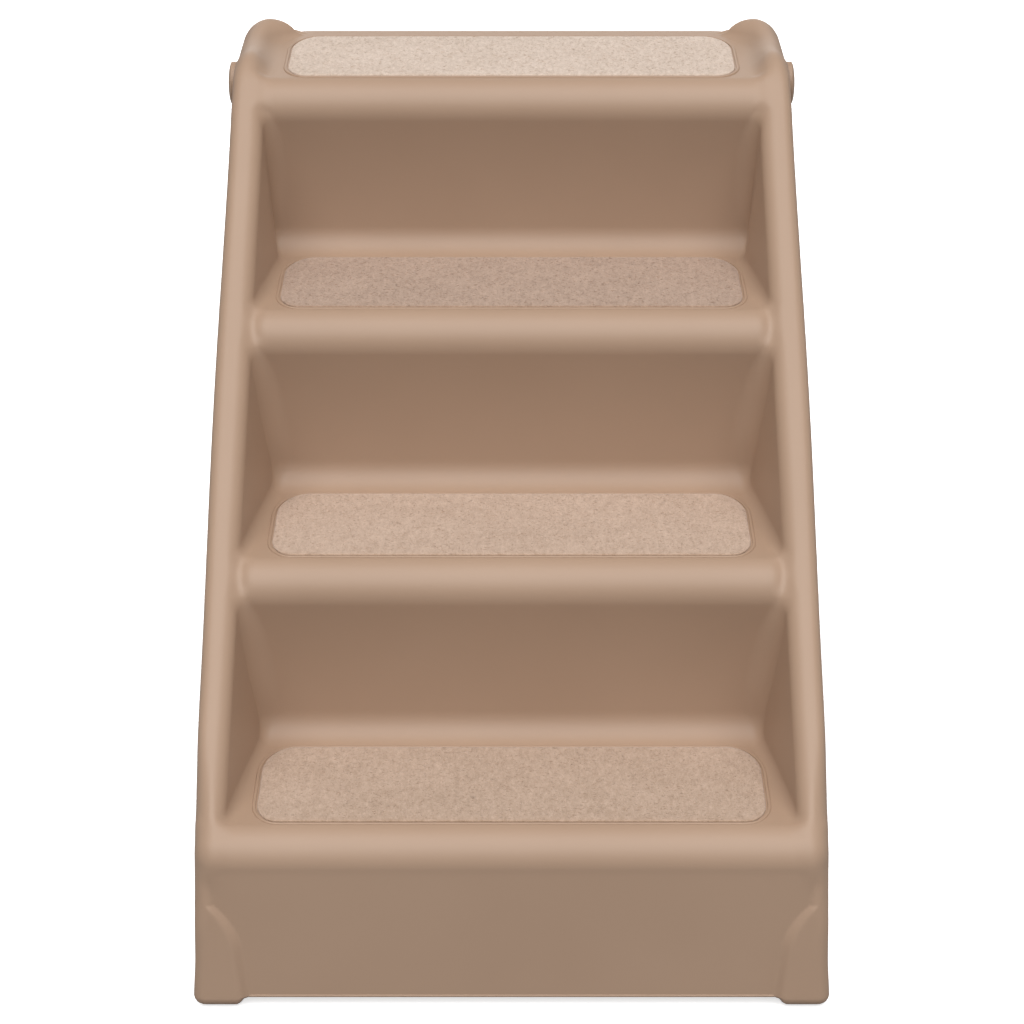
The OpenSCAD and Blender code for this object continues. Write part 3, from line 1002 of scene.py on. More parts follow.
@dataclass
class Finishes:
    """The finishes of the whole object, made once."""

    plastic: bpy.types.Material = field(default_factory=lambda: MouldedPolypropylene().make())
    # One copy of the felt for each pad, with painted light and shade in its tints.
    felt_copies_painted_light: list[bpy.types.Material] = field(default_factory=make_felt_with_painted_light)
    rubber: bpy.types.Material = field(default_factory=lambda: SoftRubber().make())
    steel: bpy.types.Material = field(default_factory=lambda: ZincPlatedSteel().make())


class Body(Enum):
    """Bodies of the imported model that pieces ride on."""

    STAIRS = "stairs"
    LEG = "leg"
    BRACE = "brace"


class Slot(Enum):
    """Slots of the record for the finished pieces' finishes; they are passed along but not read.
    """

    PLASTIC = "body_plastic"
    CARPET = "carpet"


def fit_piece(obj: bpy.types.Object, body: Body, slot: Slot, *nodes: str) -> bpy.types.Object:
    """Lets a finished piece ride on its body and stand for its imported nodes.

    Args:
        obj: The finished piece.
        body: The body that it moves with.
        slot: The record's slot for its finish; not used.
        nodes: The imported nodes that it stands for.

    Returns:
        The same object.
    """
    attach(obj, body.value)
    if nodes:
        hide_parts(*nodes)
    LOG.info("%s rides on %s", obj.name, body.value)
    return obj


class MouldedPiece(ABC):
    """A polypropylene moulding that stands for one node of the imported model."""

    name: ClassVar[str]
    node: ClassVar[str]
    rides_on: ClassVar[Body]
    most_triangles: ClassVar[int]

    @abstractmethod
    def solid(self, x: Array, y: Array, z: Array) -> Array:
        """Distance to the moulding."""

    @abstractmethod
    def grid(self) -> tuple[Array, Array, Array]:
        """Grid lines along X, Y and Z that the moulding is meshed on."""

    def build(self, finishes: Finishes) -> bpy.types.Object:
        """Meshes and dresses the moulding.

        Args:
            finishes: The finishes of the whole object.

        Returns:
            The finished piece.
        """
        obj = Moulding(self.name, self.solid, self.grid(), self.most_triangles).build()
        dress(obj, finishes.plastic)
        return fit_piece(obj, self.rides_on, Slot.PLASTIC, self.node)


@dataclass
class StairLayout:
    """Lines and heights of the stairs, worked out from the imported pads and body."""

    nose_r: float = 20.5
    fillet_r: float = 18.0
    riser_lean: float = 8.0
    riser_bow_r: float = 300.0
    pad_setback: float = 20.0
    pad_recess: float = 1.8
    rail_proud: float = 1.0
    side_drop: float = 40.0
    wall: float = 4.0

    def __post_init__(self) -> None:
        """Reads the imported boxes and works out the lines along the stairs."""
        self.low, self.high = node_box("stair_shell")
        self.pads = [node_box(f"tread_pad_{k}") for k in range(1, 5)]
        self.tread_z = [low[2] + self.pad_recess for low, _ in self.pads]
        self.nose_y = [low[1] - self.pad_setback for low, _ in self.pads]
        run = self.nose_y[-1] - self.nose_y[0]
        rise = self.tread_z[-1] - self.tread_z[0]
        self.slope = math.degrees(math.atan2(rise, run))
        self.along = direction(self.slope)
        self.above = direction(self.slope + 90)
        self.base_half = self.high[0]
        self.front_y = self.low[1]
        self.back_y = self.high[1]
        self.top_z = self.high[2]
        self.rail_line = self.nose_at(0) @ self.above + self.nose_r + self.rail_proud
        self.corner_line = self.corner_at(1) @ self.above - self.fillet_r - self.wall
        self.edge_line = self.corner_line - self.side_drop

    def nose_at(self, k: int) -> Array:
        """Centre of a nose's arc, in the side view."""
        return np.array([self.nose_y[k] + self.nose_r, self.tread_z[k] - self.nose_r])

    def corner_at(self, k: int) -> Array:
        """Centre of the fillet between the tread below and the riser under nose k.

        Args:
            k: Number of the nose, from 0.

        Returns:
            The centre in the Y-Z plane.
        """
        lean = direction(self.riser_lean)
        z = self.tread_z[k - 1] + self.fillet_r
        reach = self.nose_at(k) @ lean - self.nose_r - self.fillet_r
        return np.array([(reach - z * lean[1]) / lean[0], z])

    def bow_at(self, k: int) -> Array:
        """Centre of the hollow arc of the riser under nose k, which runs on from both its ends.

        Args:
            k: Number of the nose, from 0.

        Returns:
            The centre in the Y-Z plane.
        """
        nose, corner = self.nose_at(k), self.corner_at(k)
        to_nose, to_corner = self.riser_bow_r + self.nose_r, self.riser_bow_r - self.fillet_r
        apart = corner - nose
        length = math.hypot(*apart)
        share = (to_nose ** 2 - to_corner ** 2 + length ** 2) / (2 * length)
        off = math.sqrt(to_nose ** 2 - share ** 2)
        ahead = apart / length
        return nose + share * ahead + off * np.array([ahead[1], -ahead[0]])

    def on_line(self, line: float, z: float) -> Array:
        """Point at a height on a line that runs along the stairs."""
        return np.array([(self.along[0] * z - line) / self.along[1], z])


@dataclass
class StairBody(MouldedPiece):
    """The moulded stair body: steps, rails with humps, front posts, side walls and ribs."""

    name = "stair_body"
    node = "stair_shell"
    rides_on = Body.STAIRS
    most_triangles = 185_000

    layout: StairLayout
    # Side faces and outer edges
    top_half: float = 191.0
    waist: float = 1.9
    waist_low_z: float = 70.0
    waist_high_z: float = 175.0
    belly: float = 1.3
    belly_end_z: float = 445.0
    sole_spread: float = 1.0
    spread_ends: Stretch = (4.0, 34.0)
    side_r: float = 7.5
    corner_r: float = 14.0
    corner_starts: Stretch = (-65.0, -30.0)
    corner_ends: Stretch = (0.0, 45.0)
    back_r: float = 1.2
    # Rails
    band_top: float = 21.0
    band_low: float = 18.0
    rail_draft: float = 11.0
    draft_depth: float = 90.0
    inner_r: float = 9.0
    # Humps at the back ends of the rails
    hump_drop: float = 2.0
    hump_front_r: float = 60.0
    hump_back_r: float = 24.0
    hump_start_y: float = 137.0
    hump_upright: Stretch = (-50.0, 10.0)
    hump_rounding: Stretch = (-20.0, 60.0)
    hump_side_r: float = 19.5
    hump_inner_r: float = 24.0
    hump_fillet: float = 17.0
    hump_back_fillet: float = 4.0
    flare_start_y: float = 180.0
    flare_end_y: float = 258.0
    flare: float = 22.5
    flare_bend: float = 3.7
    flare_loss: float = 0.4
    # Fillets between the steps and the rails
    wall_fillet: float = 16.0
    tread_fillet: float = 7.0
    fillet_grows: Stretch = (4.0, 30.0)
    fillet_blend: float = 5.0
    blend_reach: int = 24
    wall_step: float = 1.0
    wall_lead: float = 20.0
    tread_slack: float = 0.5
    least_gap: float = 0.2
    # Front panel and the posts beside it
    panel_inset: float = 0.2
    panel_fillet: float = 60.0
    front_lean: float = 2.4
    post_x: float = 163.3
    post_lean: float = 0.1
    post_spread: float = 13.0
    post_low_z: float = 40.0
    post_arch_h: float = 30.0
    post_high_z: float = 80.0
    post_edge_r: float = 7.0
    post_edge_lead: float = 20.0
    post_edge_past: float = 5.0
    post_fillet: float = 3.5
    post_fillet_lead: float = 10.0
    # Seams where the noses run into the rails
    seam_low: float = -6.0
    seam_high: float = 8.0
    seam_gap: Stretch = (2.0, 8.0)
    seam_starts: Stretch = (-6.0, 16.0)
    seam_wall: float = 1.25
    groove_x: float = 1.0
    groove_r: float = 5.0
    groove_depth: float = 3.0
    groove_starts: Stretch = (10.0, 60.0)
    groove_ends: Stretch = (-70.0, -30.0)
    groove_loss: float = 0.8
    # Lower edges and soles
    edge_gap: float = 6.0
    edge_r: float = 1.5
    edge_drop: float = 0.1
    side_foot_len: float = 115.0
    skirt_drop: float = 54.0
    sole_w: float = 33.5
    sole_h: float = 22.0
    sole_d: float = 55.0
    sole_r: float = 6.5
    sole_top_r: float = 2.5
    sole_gap: float = 1.5
    # Ribs, catch lugs, stops and hinge rings on the inside
    rib_x: float = 85.0
    rib_t: float = 3.0
    rib_sink: float = 1.0
    rib_front_z: float = 40.0
    rib_relief_r: float = 8.5
    lug_x: float = 140.0
    lug_w: float = 8.0
    lug_r: float = 10.0
    stop_x: float = 90.0
    stop_w: float = 40.0
    stop_h: float = 14.5
    stop_d: float = 8.7
    stop_r: float = 1.0
    ring_x: float = 185.4
    ring_r: float = 13.0
    inner_fillet: float = 2.0
    inner_gap: float = 0.2
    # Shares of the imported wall: the quick grid is too coarse for a thin one
    full_wall: float = 1.05
    quick_wall: float = 2.2
    # Grid: its lines out to the rails, its step from there, and how far it runs past the body
    inner_lines: tuple[Lines, ...] = ((81.0, 14.0), (88.0, 1.1), (92.0, 1.2), (126.0, 7.0),
                                      (134.0, 1.6))
    full_step: float = 2.35
    quick_step: float = 4.5
    margin: float = 6.0
    floor_margin: float = 3.0

    def __post_init__(self) -> None:
        """Draws the side views that the body is built from."""
        lay = self.layout
        self.lean = math.atan2(lay.base_half - self.top_half, lay.tread_z[-1])
        self.steps = self._step_outline()
        self.crest = self._crest_outline()
        self.under = self._under_outline()
        self._measure_walls()
        self.bar_at = side_middle("catch_bar")
        self.hinge_at = side_middle("hinge_knob_right")

    def _measure_walls(self) -> None:
        """Works out the largest fillet between the steps and the rails, along the stairs."""
        lay = self.layout
        line = self.steps.points(self.wall_step)
        line = line[line[:, 1] > lay.tread_z[0] - lay.nose_r]
        along = line @ lay.along
        treads = np.array(lay.tread_z)
        below = np.searchsorted(treads, line[:, 1] + self.tread_slack) - 1
        rise = line[:, 1] - treads[np.clip(below, 0, len(treads) - 1)]
        more = self.wall_fillet - self.tread_fillet
        order = np.argsort(along)
        self.wall_s = np.arange(along.min() - self.wall_lead, along.max(), self.wall_step)
        most = self.tread_fillet + smooth_step(rise, *self.fillet_grows) * more
        fillet = np.interp(self.wall_s, along[order], most[order])
        reach = self.blend_reach
        spread = np.exp(-0.5 * (np.arange(-reach, reach + 1) / self.fillet_blend) ** 2)
        padded = np.pad(fillet, reach, mode="edge")
        self.wall_r = np.convolve(padded, spread / spread.sum(), mode="valid")

    def _step_outline(self) -> Outline:
        """Side view of the panel, noses, treads and risers, from the floor to the back.

        Returns:
            The outline, with the body on its right.
        """
        lay = self.layout
        nose = lay.nose_at(0)
        panel_y = lay.nose_y[0] + self.panel_inset
        inset = nose[0] - panel_y + self.panel_fillet
        reach = lay.nose_r + self.panel_fillet
        drop = math.sqrt(reach ** 2 - inset ** 2)
        turn = math.degrees(math.acos(inset / reach))
        bend = (panel_y - self.panel_fillet, nose[1] - drop)
        outline = Outline().line((panel_y, -OVERRUN), (panel_y, bend[1]))
        outline.arc(bend, self.panel_fillet, 0.0, turn)
        outline.arc(nose, lay.nose_r, 180.0 + turn, 90.0)
        for k in range(1, 4):
            corner = lay.corner_at(k)
            tread_z = lay.tread_z[k - 1]
            outline.line((nose[0], tread_z), (corner[0], tread_z))
            nose = lay.nose_at(k)
            bow = lay.bow_at(k)
            low, high = angle_of(corner - bow), angle_of(nose - bow)
            outline.arc(corner, lay.fillet_r, -90.0, low)
            outline.arc(bow, lay.riser_bow_r, low, high)
            outline.arc(nose, lay.nose_r, 180.0 + high, 90.0)
        return outline.line((nose[0], lay.tread_z[3]), (lay.back_y + OVERRUN, lay.tread_z[3]))

    def _crest_outline(self) -> Outline:
        """Side view over the rails and humps.

        Returns:
            The outline, with the body on its right.
        """
        lay = self.layout
        nose = lay.nose_at(0)
        radius = lay.nose_r + lay.rail_proud
        top_z = lay.top_z - self.hump_drop
        z = top_z - self.hump_front_r
        ahead = lay.along[0] * z - lay.rail_line + self.hump_front_r
        front = np.array([ahead / lay.along[1], z])
        back = np.array([lay.back_y, top_z]) - self.hump_back_r
        foot = nose + radius * direction(180.0 - self.front_lean)
        outline = Outline().line(foot + OVERRUN * direction(270.0 - self.front_lean), foot)
        outline.arc(nose, radius, 180.0 - self.front_lean, 90.0 + lay.slope)
        outline.line(nose + radius * lay.above, front + self.hump_front_r * lay.above)
        outline.arc(front, self.hump_front_r, 90.0 + lay.slope, 90.0)
        outline.line(front + (0.0, self.hump_front_r), back + (0.0, self.hump_back_r))
        outline.arc(back, self.hump_back_r, 90.0, 0.0)
        return outline.line(back + (self.hump_back_r, 0.0), (lay.back_y, -OVERRUN))

    def _under_outline(self) -> Outline:
        """Side view under the body, from its back to its front, with the body on its right.

        Returns:
            The outline.
        """
        lay = self.layout
        skirt_z = lay.tread_z[3] - self.skirt_drop
        start = lay.on_line(lay.edge_line, skirt_z)
        foot_y = lay.front_y + self.side_foot_len
        cos, sin = lay.along
        radius = (lay.edge_line + sin * foot_y - cos * self.edge_gap) / (1 - sin)
        centre = np.array([foot_y + radius, self.edge_gap])
        outline = Outline().line((lay.back_y + OVERRUN, skirt_z), start)
        outline.line(start, centre + radius * lay.above)
        outline.arc(centre, radius, 90.0 + lay.slope, 180.0)
        outline.line((foot_y, self.edge_gap), (foot_y, self.edge_gap - self.edge_drop))
        return outline.line((foot_y, self.edge_gap), (lay.front_y - OVERRUN, self.edge_gap))

    def half_width(self, z: Array) -> Array:
        """Half the width at a height: the side faces lean in and bow out a little halfway up.

        Args:
            z: Heights above the floor.

        Returns:
            Half the width at each height.
        """
        half = self.layout.base_half - z * math.tan(self.lean)
        half = half - self.waist * (1.0 - smooth_step(z, self.waist_low_z, self.waist_high_z))
        rise = np.clip((z - self.waist_high_z) / (self.belly_end_z - self.waist_high_z), 0.0, 1.0)
        half = half + self.belly * np.sin(math.pi * rise) ** 2
        return half + self.sole_spread * (1.0 - smooth_step(z, *self.spread_ends))

    def side(self, x: Array, z: Array) -> Array:
        """Distance beyond the side faces."""
        return (np.abs(x) - self.half_width(z)) * math.cos(self.lean)

    def rail_inner(self, x: Array, y: Array, z: Array) -> Array:
        """Distance in front of the rails' inner faces, which run into the front posts.

        Args:
            x: Places across the stairs, zero in the middle.
            y: Places from front to back.
            z: Heights above the floor.

        Returns:
            The distance of each place, negative in the rail.
        """
        lay = self.layout
        depth = lay.rail_line - (y * lay.above[0] + z * lay.above[1])
        share = np.clip(z / lay.tread_z[3], 0.0, 1.0)
        band = self.band_low + (self.band_top - self.band_low) * share
        past = np.clip(y, self.flare_start_y, self.flare_end_y) - self.flare_start_y
        past = past / (self.flare_end_y - self.flare_start_y)
        draft = math.radians(self.rail_draft)
        upright = eased(y, self.hump_start_y, self.hump_upright)
        depth = np.minimum(depth, self.draft_depth) * (1.0 - upright)
        loss = self.flare_loss * smooth_step(y, self.flare_end_y, lay.back_y)
        flare = self.flare * (1.0 - loss)
        rail = lay.base_half - z * math.tan(self.lean) - band - flare * past ** self.flare_bend
        rail = rail - depth * math.tan(draft)
        arch = np.clip((z - self.post_low_z) / self.post_arch_h, 0.0, 1.0)
        post = self.post_x + self.post_lean * z + self.post_spread * arch ** 2
        above = smooth_step(z, self.post_high_z, lay.tread_z[0])
        return (post + (rail - post) * above - np.abs(x)) * math.cos(draft)

    def wall_radius(self, y: Array, z: Array, gap: Array) -> Array:
        """Radius of the fillet between the steps and the rails, never more than their gap.

        Args:
            y: Places from front to back.
            z: Heights above the floor.
            gap: How far the crest stands over the steps at each place.

        Returns:
            The radius at each place.
        """
        lay = self.layout
        most = np.interp(y * lay.along[0] + z * lay.along[1], self.wall_s, self.wall_r)
        top = eased(y, self.hump_start_y, self.hump_rounding)
        back = smooth_step(y, self.flare_start_y, self.flare_end_y)
        hump = self.hump_fillet + (self.hump_back_fillet - self.hump_fillet) * back
        most = most + (hump - most) * top
        above = smooth_step(z, self.post_high_z - self.post_fillet_lead, lay.tread_z[0])
        most = self.post_fillet + (most - self.post_fillet) * above
        return most * (1.0 - np.exp(-np.maximum(gap, self.least_gap) / most))

    def skin(self, x: Array, y: Array, z: Array) -> Array:
        """Distance to the body without its hollow and without its lower edges.

        Args:
            x: Places across the stairs, zero in the middle.
            y: Places from front to back.
            z: Heights above the floor.

        Returns:
            The distance of each place, negative inside.
        """
        steps = self.steps.distance(y, z)
        crest = self.crest.distance(y, z)
        edge, inner_edge = self.edge_radii(y, z)
        inner = self.rail_inner(x, y, z)
        rail = rounded_cut(crest, inner, inner_edge)
        gap = steps - crest
        deep = fillet_union(steps, rail, self.wall_radius(y, z, gap))
        body = deep + (self.seam(crest, gap, inner, z) - deep) * self.seam_share(gap, z)
        body = rounded_cut(body, self.side(x, z), edge)
        return rounded_cut(body, y - self.layout.back_y, self.back_r)

    def seam(self, crest: Array, gap: Array, inner: Array, z: Array) -> Array:
        """Distance to the faces where a nose runs into the rails over a soft groove.

        Args:
            crest: Distance to the crest's outline.
            gap: How far the crest stands over the steps.
            inner: Distance to the rails' inner faces.
            z: Heights above the floor.

        Returns:
            The distance of each place, negative inside.
        """
        low_z, high_z = self.layout.tread_z[0], self.layout.tread_z[3]
        ends = eased(z, low_z, self.groove_starts)
        ends = ends * (1.0 - self.groove_loss * eased(z, high_z, self.groove_ends))
        groove = self.groove_depth * np.exp(-((inner - self.groove_x) / self.groove_r) ** 2)
        return crest + gap * smooth_step(inner, self.seam_low, self.seam_high) + groove * ends

    def seam_share(self, gap: Array, z: Array) -> Array:
        """How far the nose's soft seam stands in for the fillet, from 0 to 1."""
        low = 1.0 - smooth_step(gap, *self.seam_gap)
        return low * eased(z, self.post_high_z, self.seam_starts)

    def edge_radii(self, y: Array, z: Array) -> tuple[Array, Array]:
        """Radii of the rails' outer and inner edges, larger at the humps and the first nose.

        Args:
            y: Places from front to back.
            z: Heights above the floor.

        Returns:
            The outer and the inner radius at each place.
        """
        low_z = self.layout.tread_z[0]
        hump = eased(y, self.hump_start_y, self.hump_rounding)
        corner = eased(z, low_z, self.corner_starts) * (1.0 - eased(z, low_z, self.corner_ends))
        outer = self.side_r + (self.corner_r - self.side_r) * corner
        outer = outer + (self.hump_side_r - self.side_r) * hump
        inner = smooth_step(y, self.hump_start_y + self.hump_upright[0], self.flare_end_y)
        inner = self.inner_r + (self.hump_inner_r - self.inner_r) * inner
        above = smooth_step(z, self.post_high_z - self.post_edge_lead,
                            low_z + self.post_edge_past)
        return outer, self.post_edge_r + (inner - self.post_edge_r) * above

    def hollow(self, x: Array, y: Array, z: Array, wall: float) -> Array:
        """Distance to the room inside, a wall's thickness behind every face.

        Args:
            x: Places across the stairs, zero in the middle.
            y: Places from front to back.
            z: Heights above the floor.
            wall: Thickness of the wall.

        Returns:
            The distance of each place, negative inside.
        """
        edge, inner_edge = self.edge_radii(y, z)
        steps = self.steps.distance(y, z)
        crest = self.crest.distance(y, z)
        inner = self.rail_inner(x, y, z)
        deep = np.minimum(steps + wall, rounded_cut(crest + wall, inner + wall, inner_edge))
        gap = steps - crest
        soft = self.seam(crest, gap, inner, z) + self.seam_wall * wall
        room = deep + (soft - deep) * self.seam_share(gap, z)
        room = rounded_cut(room, self.side(x, z) + wall, edge)
        return np.maximum(room, y - self.layout.back_y + wall)

    def solid(self, x: Array, y: Array, z: Array) -> Array:
        """Distance to the finished moulding.

        Args:
            x: Places across the stairs, zero in the middle.
            y: Places from front to back.
            z: Heights above the floor.

        Returns:
            The distance of each place, negative inside.
        """
        skin = self.skin(x, y, z)
        wall = self.layout.wall * self.full_wall
        body = rounded_cut(skin, self.under.distance(y, z), self.edge_r)
        body = rounded_cut(body, -self.hollow(x, y, z, wall), self.edge_r)
        inner = self.ribs(x, y, z)
        inner = np.minimum(inner, self.fittings(x, y, z))
        inner = np.maximum(inner, skin + self.inner_fillet + self.inner_gap)
        body = fillet_union(body, inner, self.inner_fillet)
        return np.minimum(body, self.soles(skin, x, y, z))

    def ribs(self, x: Array, y: Array, z: Array) -> Array:
        """Distance to the two long ribs under the steps.

        Args:
            x: Places across the stairs, zero in the middle.
            y: Places from front to back.
            z: Heights above the floor.

        Returns:
            The distance of each place, negative inside.
        """
        lay = self.layout
        height = y * lay.above[0] + z * lay.above[1]
        sheet = slab(np.abs(x), self.rib_x, self.rib_t)
        reach = np.maximum(lay.corner_line + self.rib_sink - height, self.rib_front_z - z)
        relief = self.rib_relief_r - np.hypot(y - self.bar_at[0], z - self.bar_at[1])
        return np.maximum(np.maximum(sheet, reach), relief)

    def fittings(self, x: Array, y: Array, z: Array) -> Array:
        """Distance to the catch lugs, the leg's stops and the rings round the hinges.

        Args:
            x: Places across the stairs, zero in the middle.
            y: Places from front to back.
            z: Heights above the floor.

        Returns:
            The distance of each place, negative inside.
        """
        lay = self.layout
        across = np.abs(x)
        bar_y, bar_z = self.bar_at
        lug_x = slab(across, self.lug_x + self.lug_w / 2, self.lug_w)
        round_end = np.hypot(y - bar_y, z - bar_z) - self.lug_r
        strut = np.maximum(np.abs(y - bar_y) - self.lug_r, bar_z - z)
        lug = np.maximum(lug_x, np.minimum(round_end, np.maximum(strut, z - lay.tread_z[2])))
        skirt_z = lay.tread_z[3] - self.skirt_drop
        stop = rounded_box(across, y, z, (self.stop_x, lay.back_y - self.stop_d, skirt_z),
                           (self.stop_x + self.stop_w, lay.back_y, skirt_z + self.stop_h),
                           self.stop_r)
        ring = np.hypot(y - self.hinge_at[0], z - self.hinge_at[1]) - self.ring_r
        ring = np.maximum(ring, self.ring_x - across)
        return np.minimum(np.minimum(lug, stop), ring)

    def soles(self, skin: Array, x: Array, y: Array, z: Array) -> Array:
        """Distance to the solid soles that fill the front feet inside their skin.

        Args:
            skin: Distance to the outer faces.
            x: Places across the stairs, zero in the middle.
            y: Places from front to back.
            z: Heights above the floor.

        Returns:
            The distance of each place, negative inside.
        """
        lay = self.layout
        outer = lay.base_half
        room = rounded_box(np.abs(x), y, z,
                           (outer - self.sole_w, lay.front_y - self.sole_d, self.sole_gap),
                           (outer + self.sole_w, lay.front_y + self.sole_d, self.sole_h),
                           self.sole_r)
        above = smooth_step(z, self.sole_r, 2 * self.sole_r)
        return rounded_cut(skin, room, self.sole_r + (self.sole_top_r - self.sole_r) * above)

    def grid(self) -> tuple[Array, Array, Array]:
        """Grid lines that are closer at the rails, ribs and stops.

        Returns:
            The grid lines along X, Y and Z.
        """
        lay = self.layout
        step = self.full_step
        xs = mirrored_steps([*self.inner_lines, (lay.base_half + self.margin, step)])
        ys = even_steps([(lay.front_y - self.margin, lay.back_y + self.margin, step)])
        zs = even_steps([(-self.floor_margin, lay.top_z + self.margin, step)])
        return xs, ys, zs


@dataclass
class TreadPad:
    """One felt pad, a little proud of its tread, with soft edges."""

    number: int
    layout: StairLayout
    # Rim and its drawn-out corners
    corner_w: float = 20.0
    corner_d: float = 38.0
    front_share: float = 0.68
    set_back: float = 3.5
    corner_steps: int = 12
    # Soft edge and the crown of the top
    edge_r: float = 1.0
    edge_steps: int = 4
    undercut: float = 1.2
    lift: float = 0.02
    sink: float = 0.1
    swell: float = 0.35
    crown: int = 4
    rings: int = 16
    spine_share: float = 0.004
    fill: float = 0.2
    # Loose fibres
    fibres_per_m2: float = 150_000.0
    fibre_len: float = 2.4
    fibre_t: float = 0.22

    def outline(self, inset: float) -> Array:
        """Points round the pad, moved inwards, with drawn-out corners that are wider behind.

        Args:
            inset: How far inside the pad's edge, or outside it if negative.

        Returns:
            One row for each point.
        """
        low, high = node_box(f"tread_pad_{self.number}")
        middle_y = (low[1] + high[1]) / 2
        half_x, half_y = high[0] - inset, (high[1] - low[1]) / 2 - inset
        rows = []
        for side_x, side_y, start in ((1, -1, -90), (1, 1, 0), (-1, 1, 90), (-1, -1, 180)):
            share = 1.0 if side_y > 0 else self.front_share
            reach = np.array([self.corner_w, self.corner_d]) * share - inset
            centre = np.array([side_x * (half_x - reach[0]), side_y * (half_y - reach[1])])
            centre[1] += middle_y + self.set_back
            rows += [centre + reach * direction(a)
                     for a in np.linspace(start, start + 90, self.corner_steps)]
        return np.array(rows)

    def build(self, finishes: Finishes) -> bpy.types.Object:
        """Builds and dresses the pad and its fibres.

        Args:
            finishes: The finishes of the whole object.

        Returns:
            The pad.
        """
        rings = self._rings()
        mesh = bpy.data.meshes.new(f"felt_pad_{self.number}")
        places = np.concatenate(rings) * MM
        mesh.from_pydata(places.tolist(), [], ring_faces(len(rings), len(rings[0])))
        mesh.shade_smooth()
        obj = link(bpy.data.objects.new(mesh.name, mesh))
        # The pad wears its tread's felt copy, with painted light and shade in its tints.
        dress(obj, finishes.felt_copies_painted_light[self.number - 1])
        self._fibres(obj, finishes)
        fit_piece(obj, Body.STAIRS, Slot.CARPET, f"tread_pad_{self.number}")
        return obj

    def _rings(self) -> list[Array]:
        """Rings of points from under the pad, over its soft edge, to a spine in its middle.

        Returns:
            The points of each ring, one row each.
        """
        low, high = node_box(f"tread_pad_{self.number}")
        half_spine = (high[0] - low[0] - high[1] + low[1]) / 2
        middle_y = (low[1] + high[1]) / 2 + self.set_back
        rim = self.outline(0.0)
        spine = np.stack([np.clip(rim[:, 0], -half_spine, half_spine),
                          np.full(len(rim), middle_y)], axis=1)
        levels = [(self.outline(self.undercut), self.layout.pad_recess + low[2] + self.lift)]
        for angle in np.linspace(0.0, 90.0, self.edge_steps):
            out, up = direction(angle)
            levels.append((self.outline(self.edge_r * (1 - out)),
                           high[2] - self.edge_r * (1 - up) - self.sink))
        edge = self.outline(self.edge_r)
        for k in range(1, self.rings + 1):
            share = 1 - k / self.rings
            levels.append((spine + (edge - spine) * max(share, self.spine_share),
                           high[2] - self.sink + self.swell * (1 - share ** self.crown)))
        return [np.column_stack([flat, np.full(len(rim), z)]) for flat, z in levels]

    def _fibres(self, pad: bpy.types.Object, finishes: Finishes) -> bpy.types.Object:
        """Scatters the loose fibres of the felt over the pad.

        Args:
            pad: The finished pad.
            finishes: The finishes of the whole object.

        Returns:
            The fibres as one object.
        """
        obj = link(bpy.data.objects.new(f"felt_fibres_{self.number}", pad.data.copy()))
        # The fibres wear the same felt copy, with its painted light and shade.
        fibre_recipe().run(obj, Density=self.fibres_per_m2, Length=self.fibre_len * MM,
                           Thickness=self.fibre_t * MM, Seed=self.number,
                           Material=finishes.felt_copies_painted_light[self.number - 1])
        return fit_piece(obj, Body.STAIRS, Slot.CARPET)


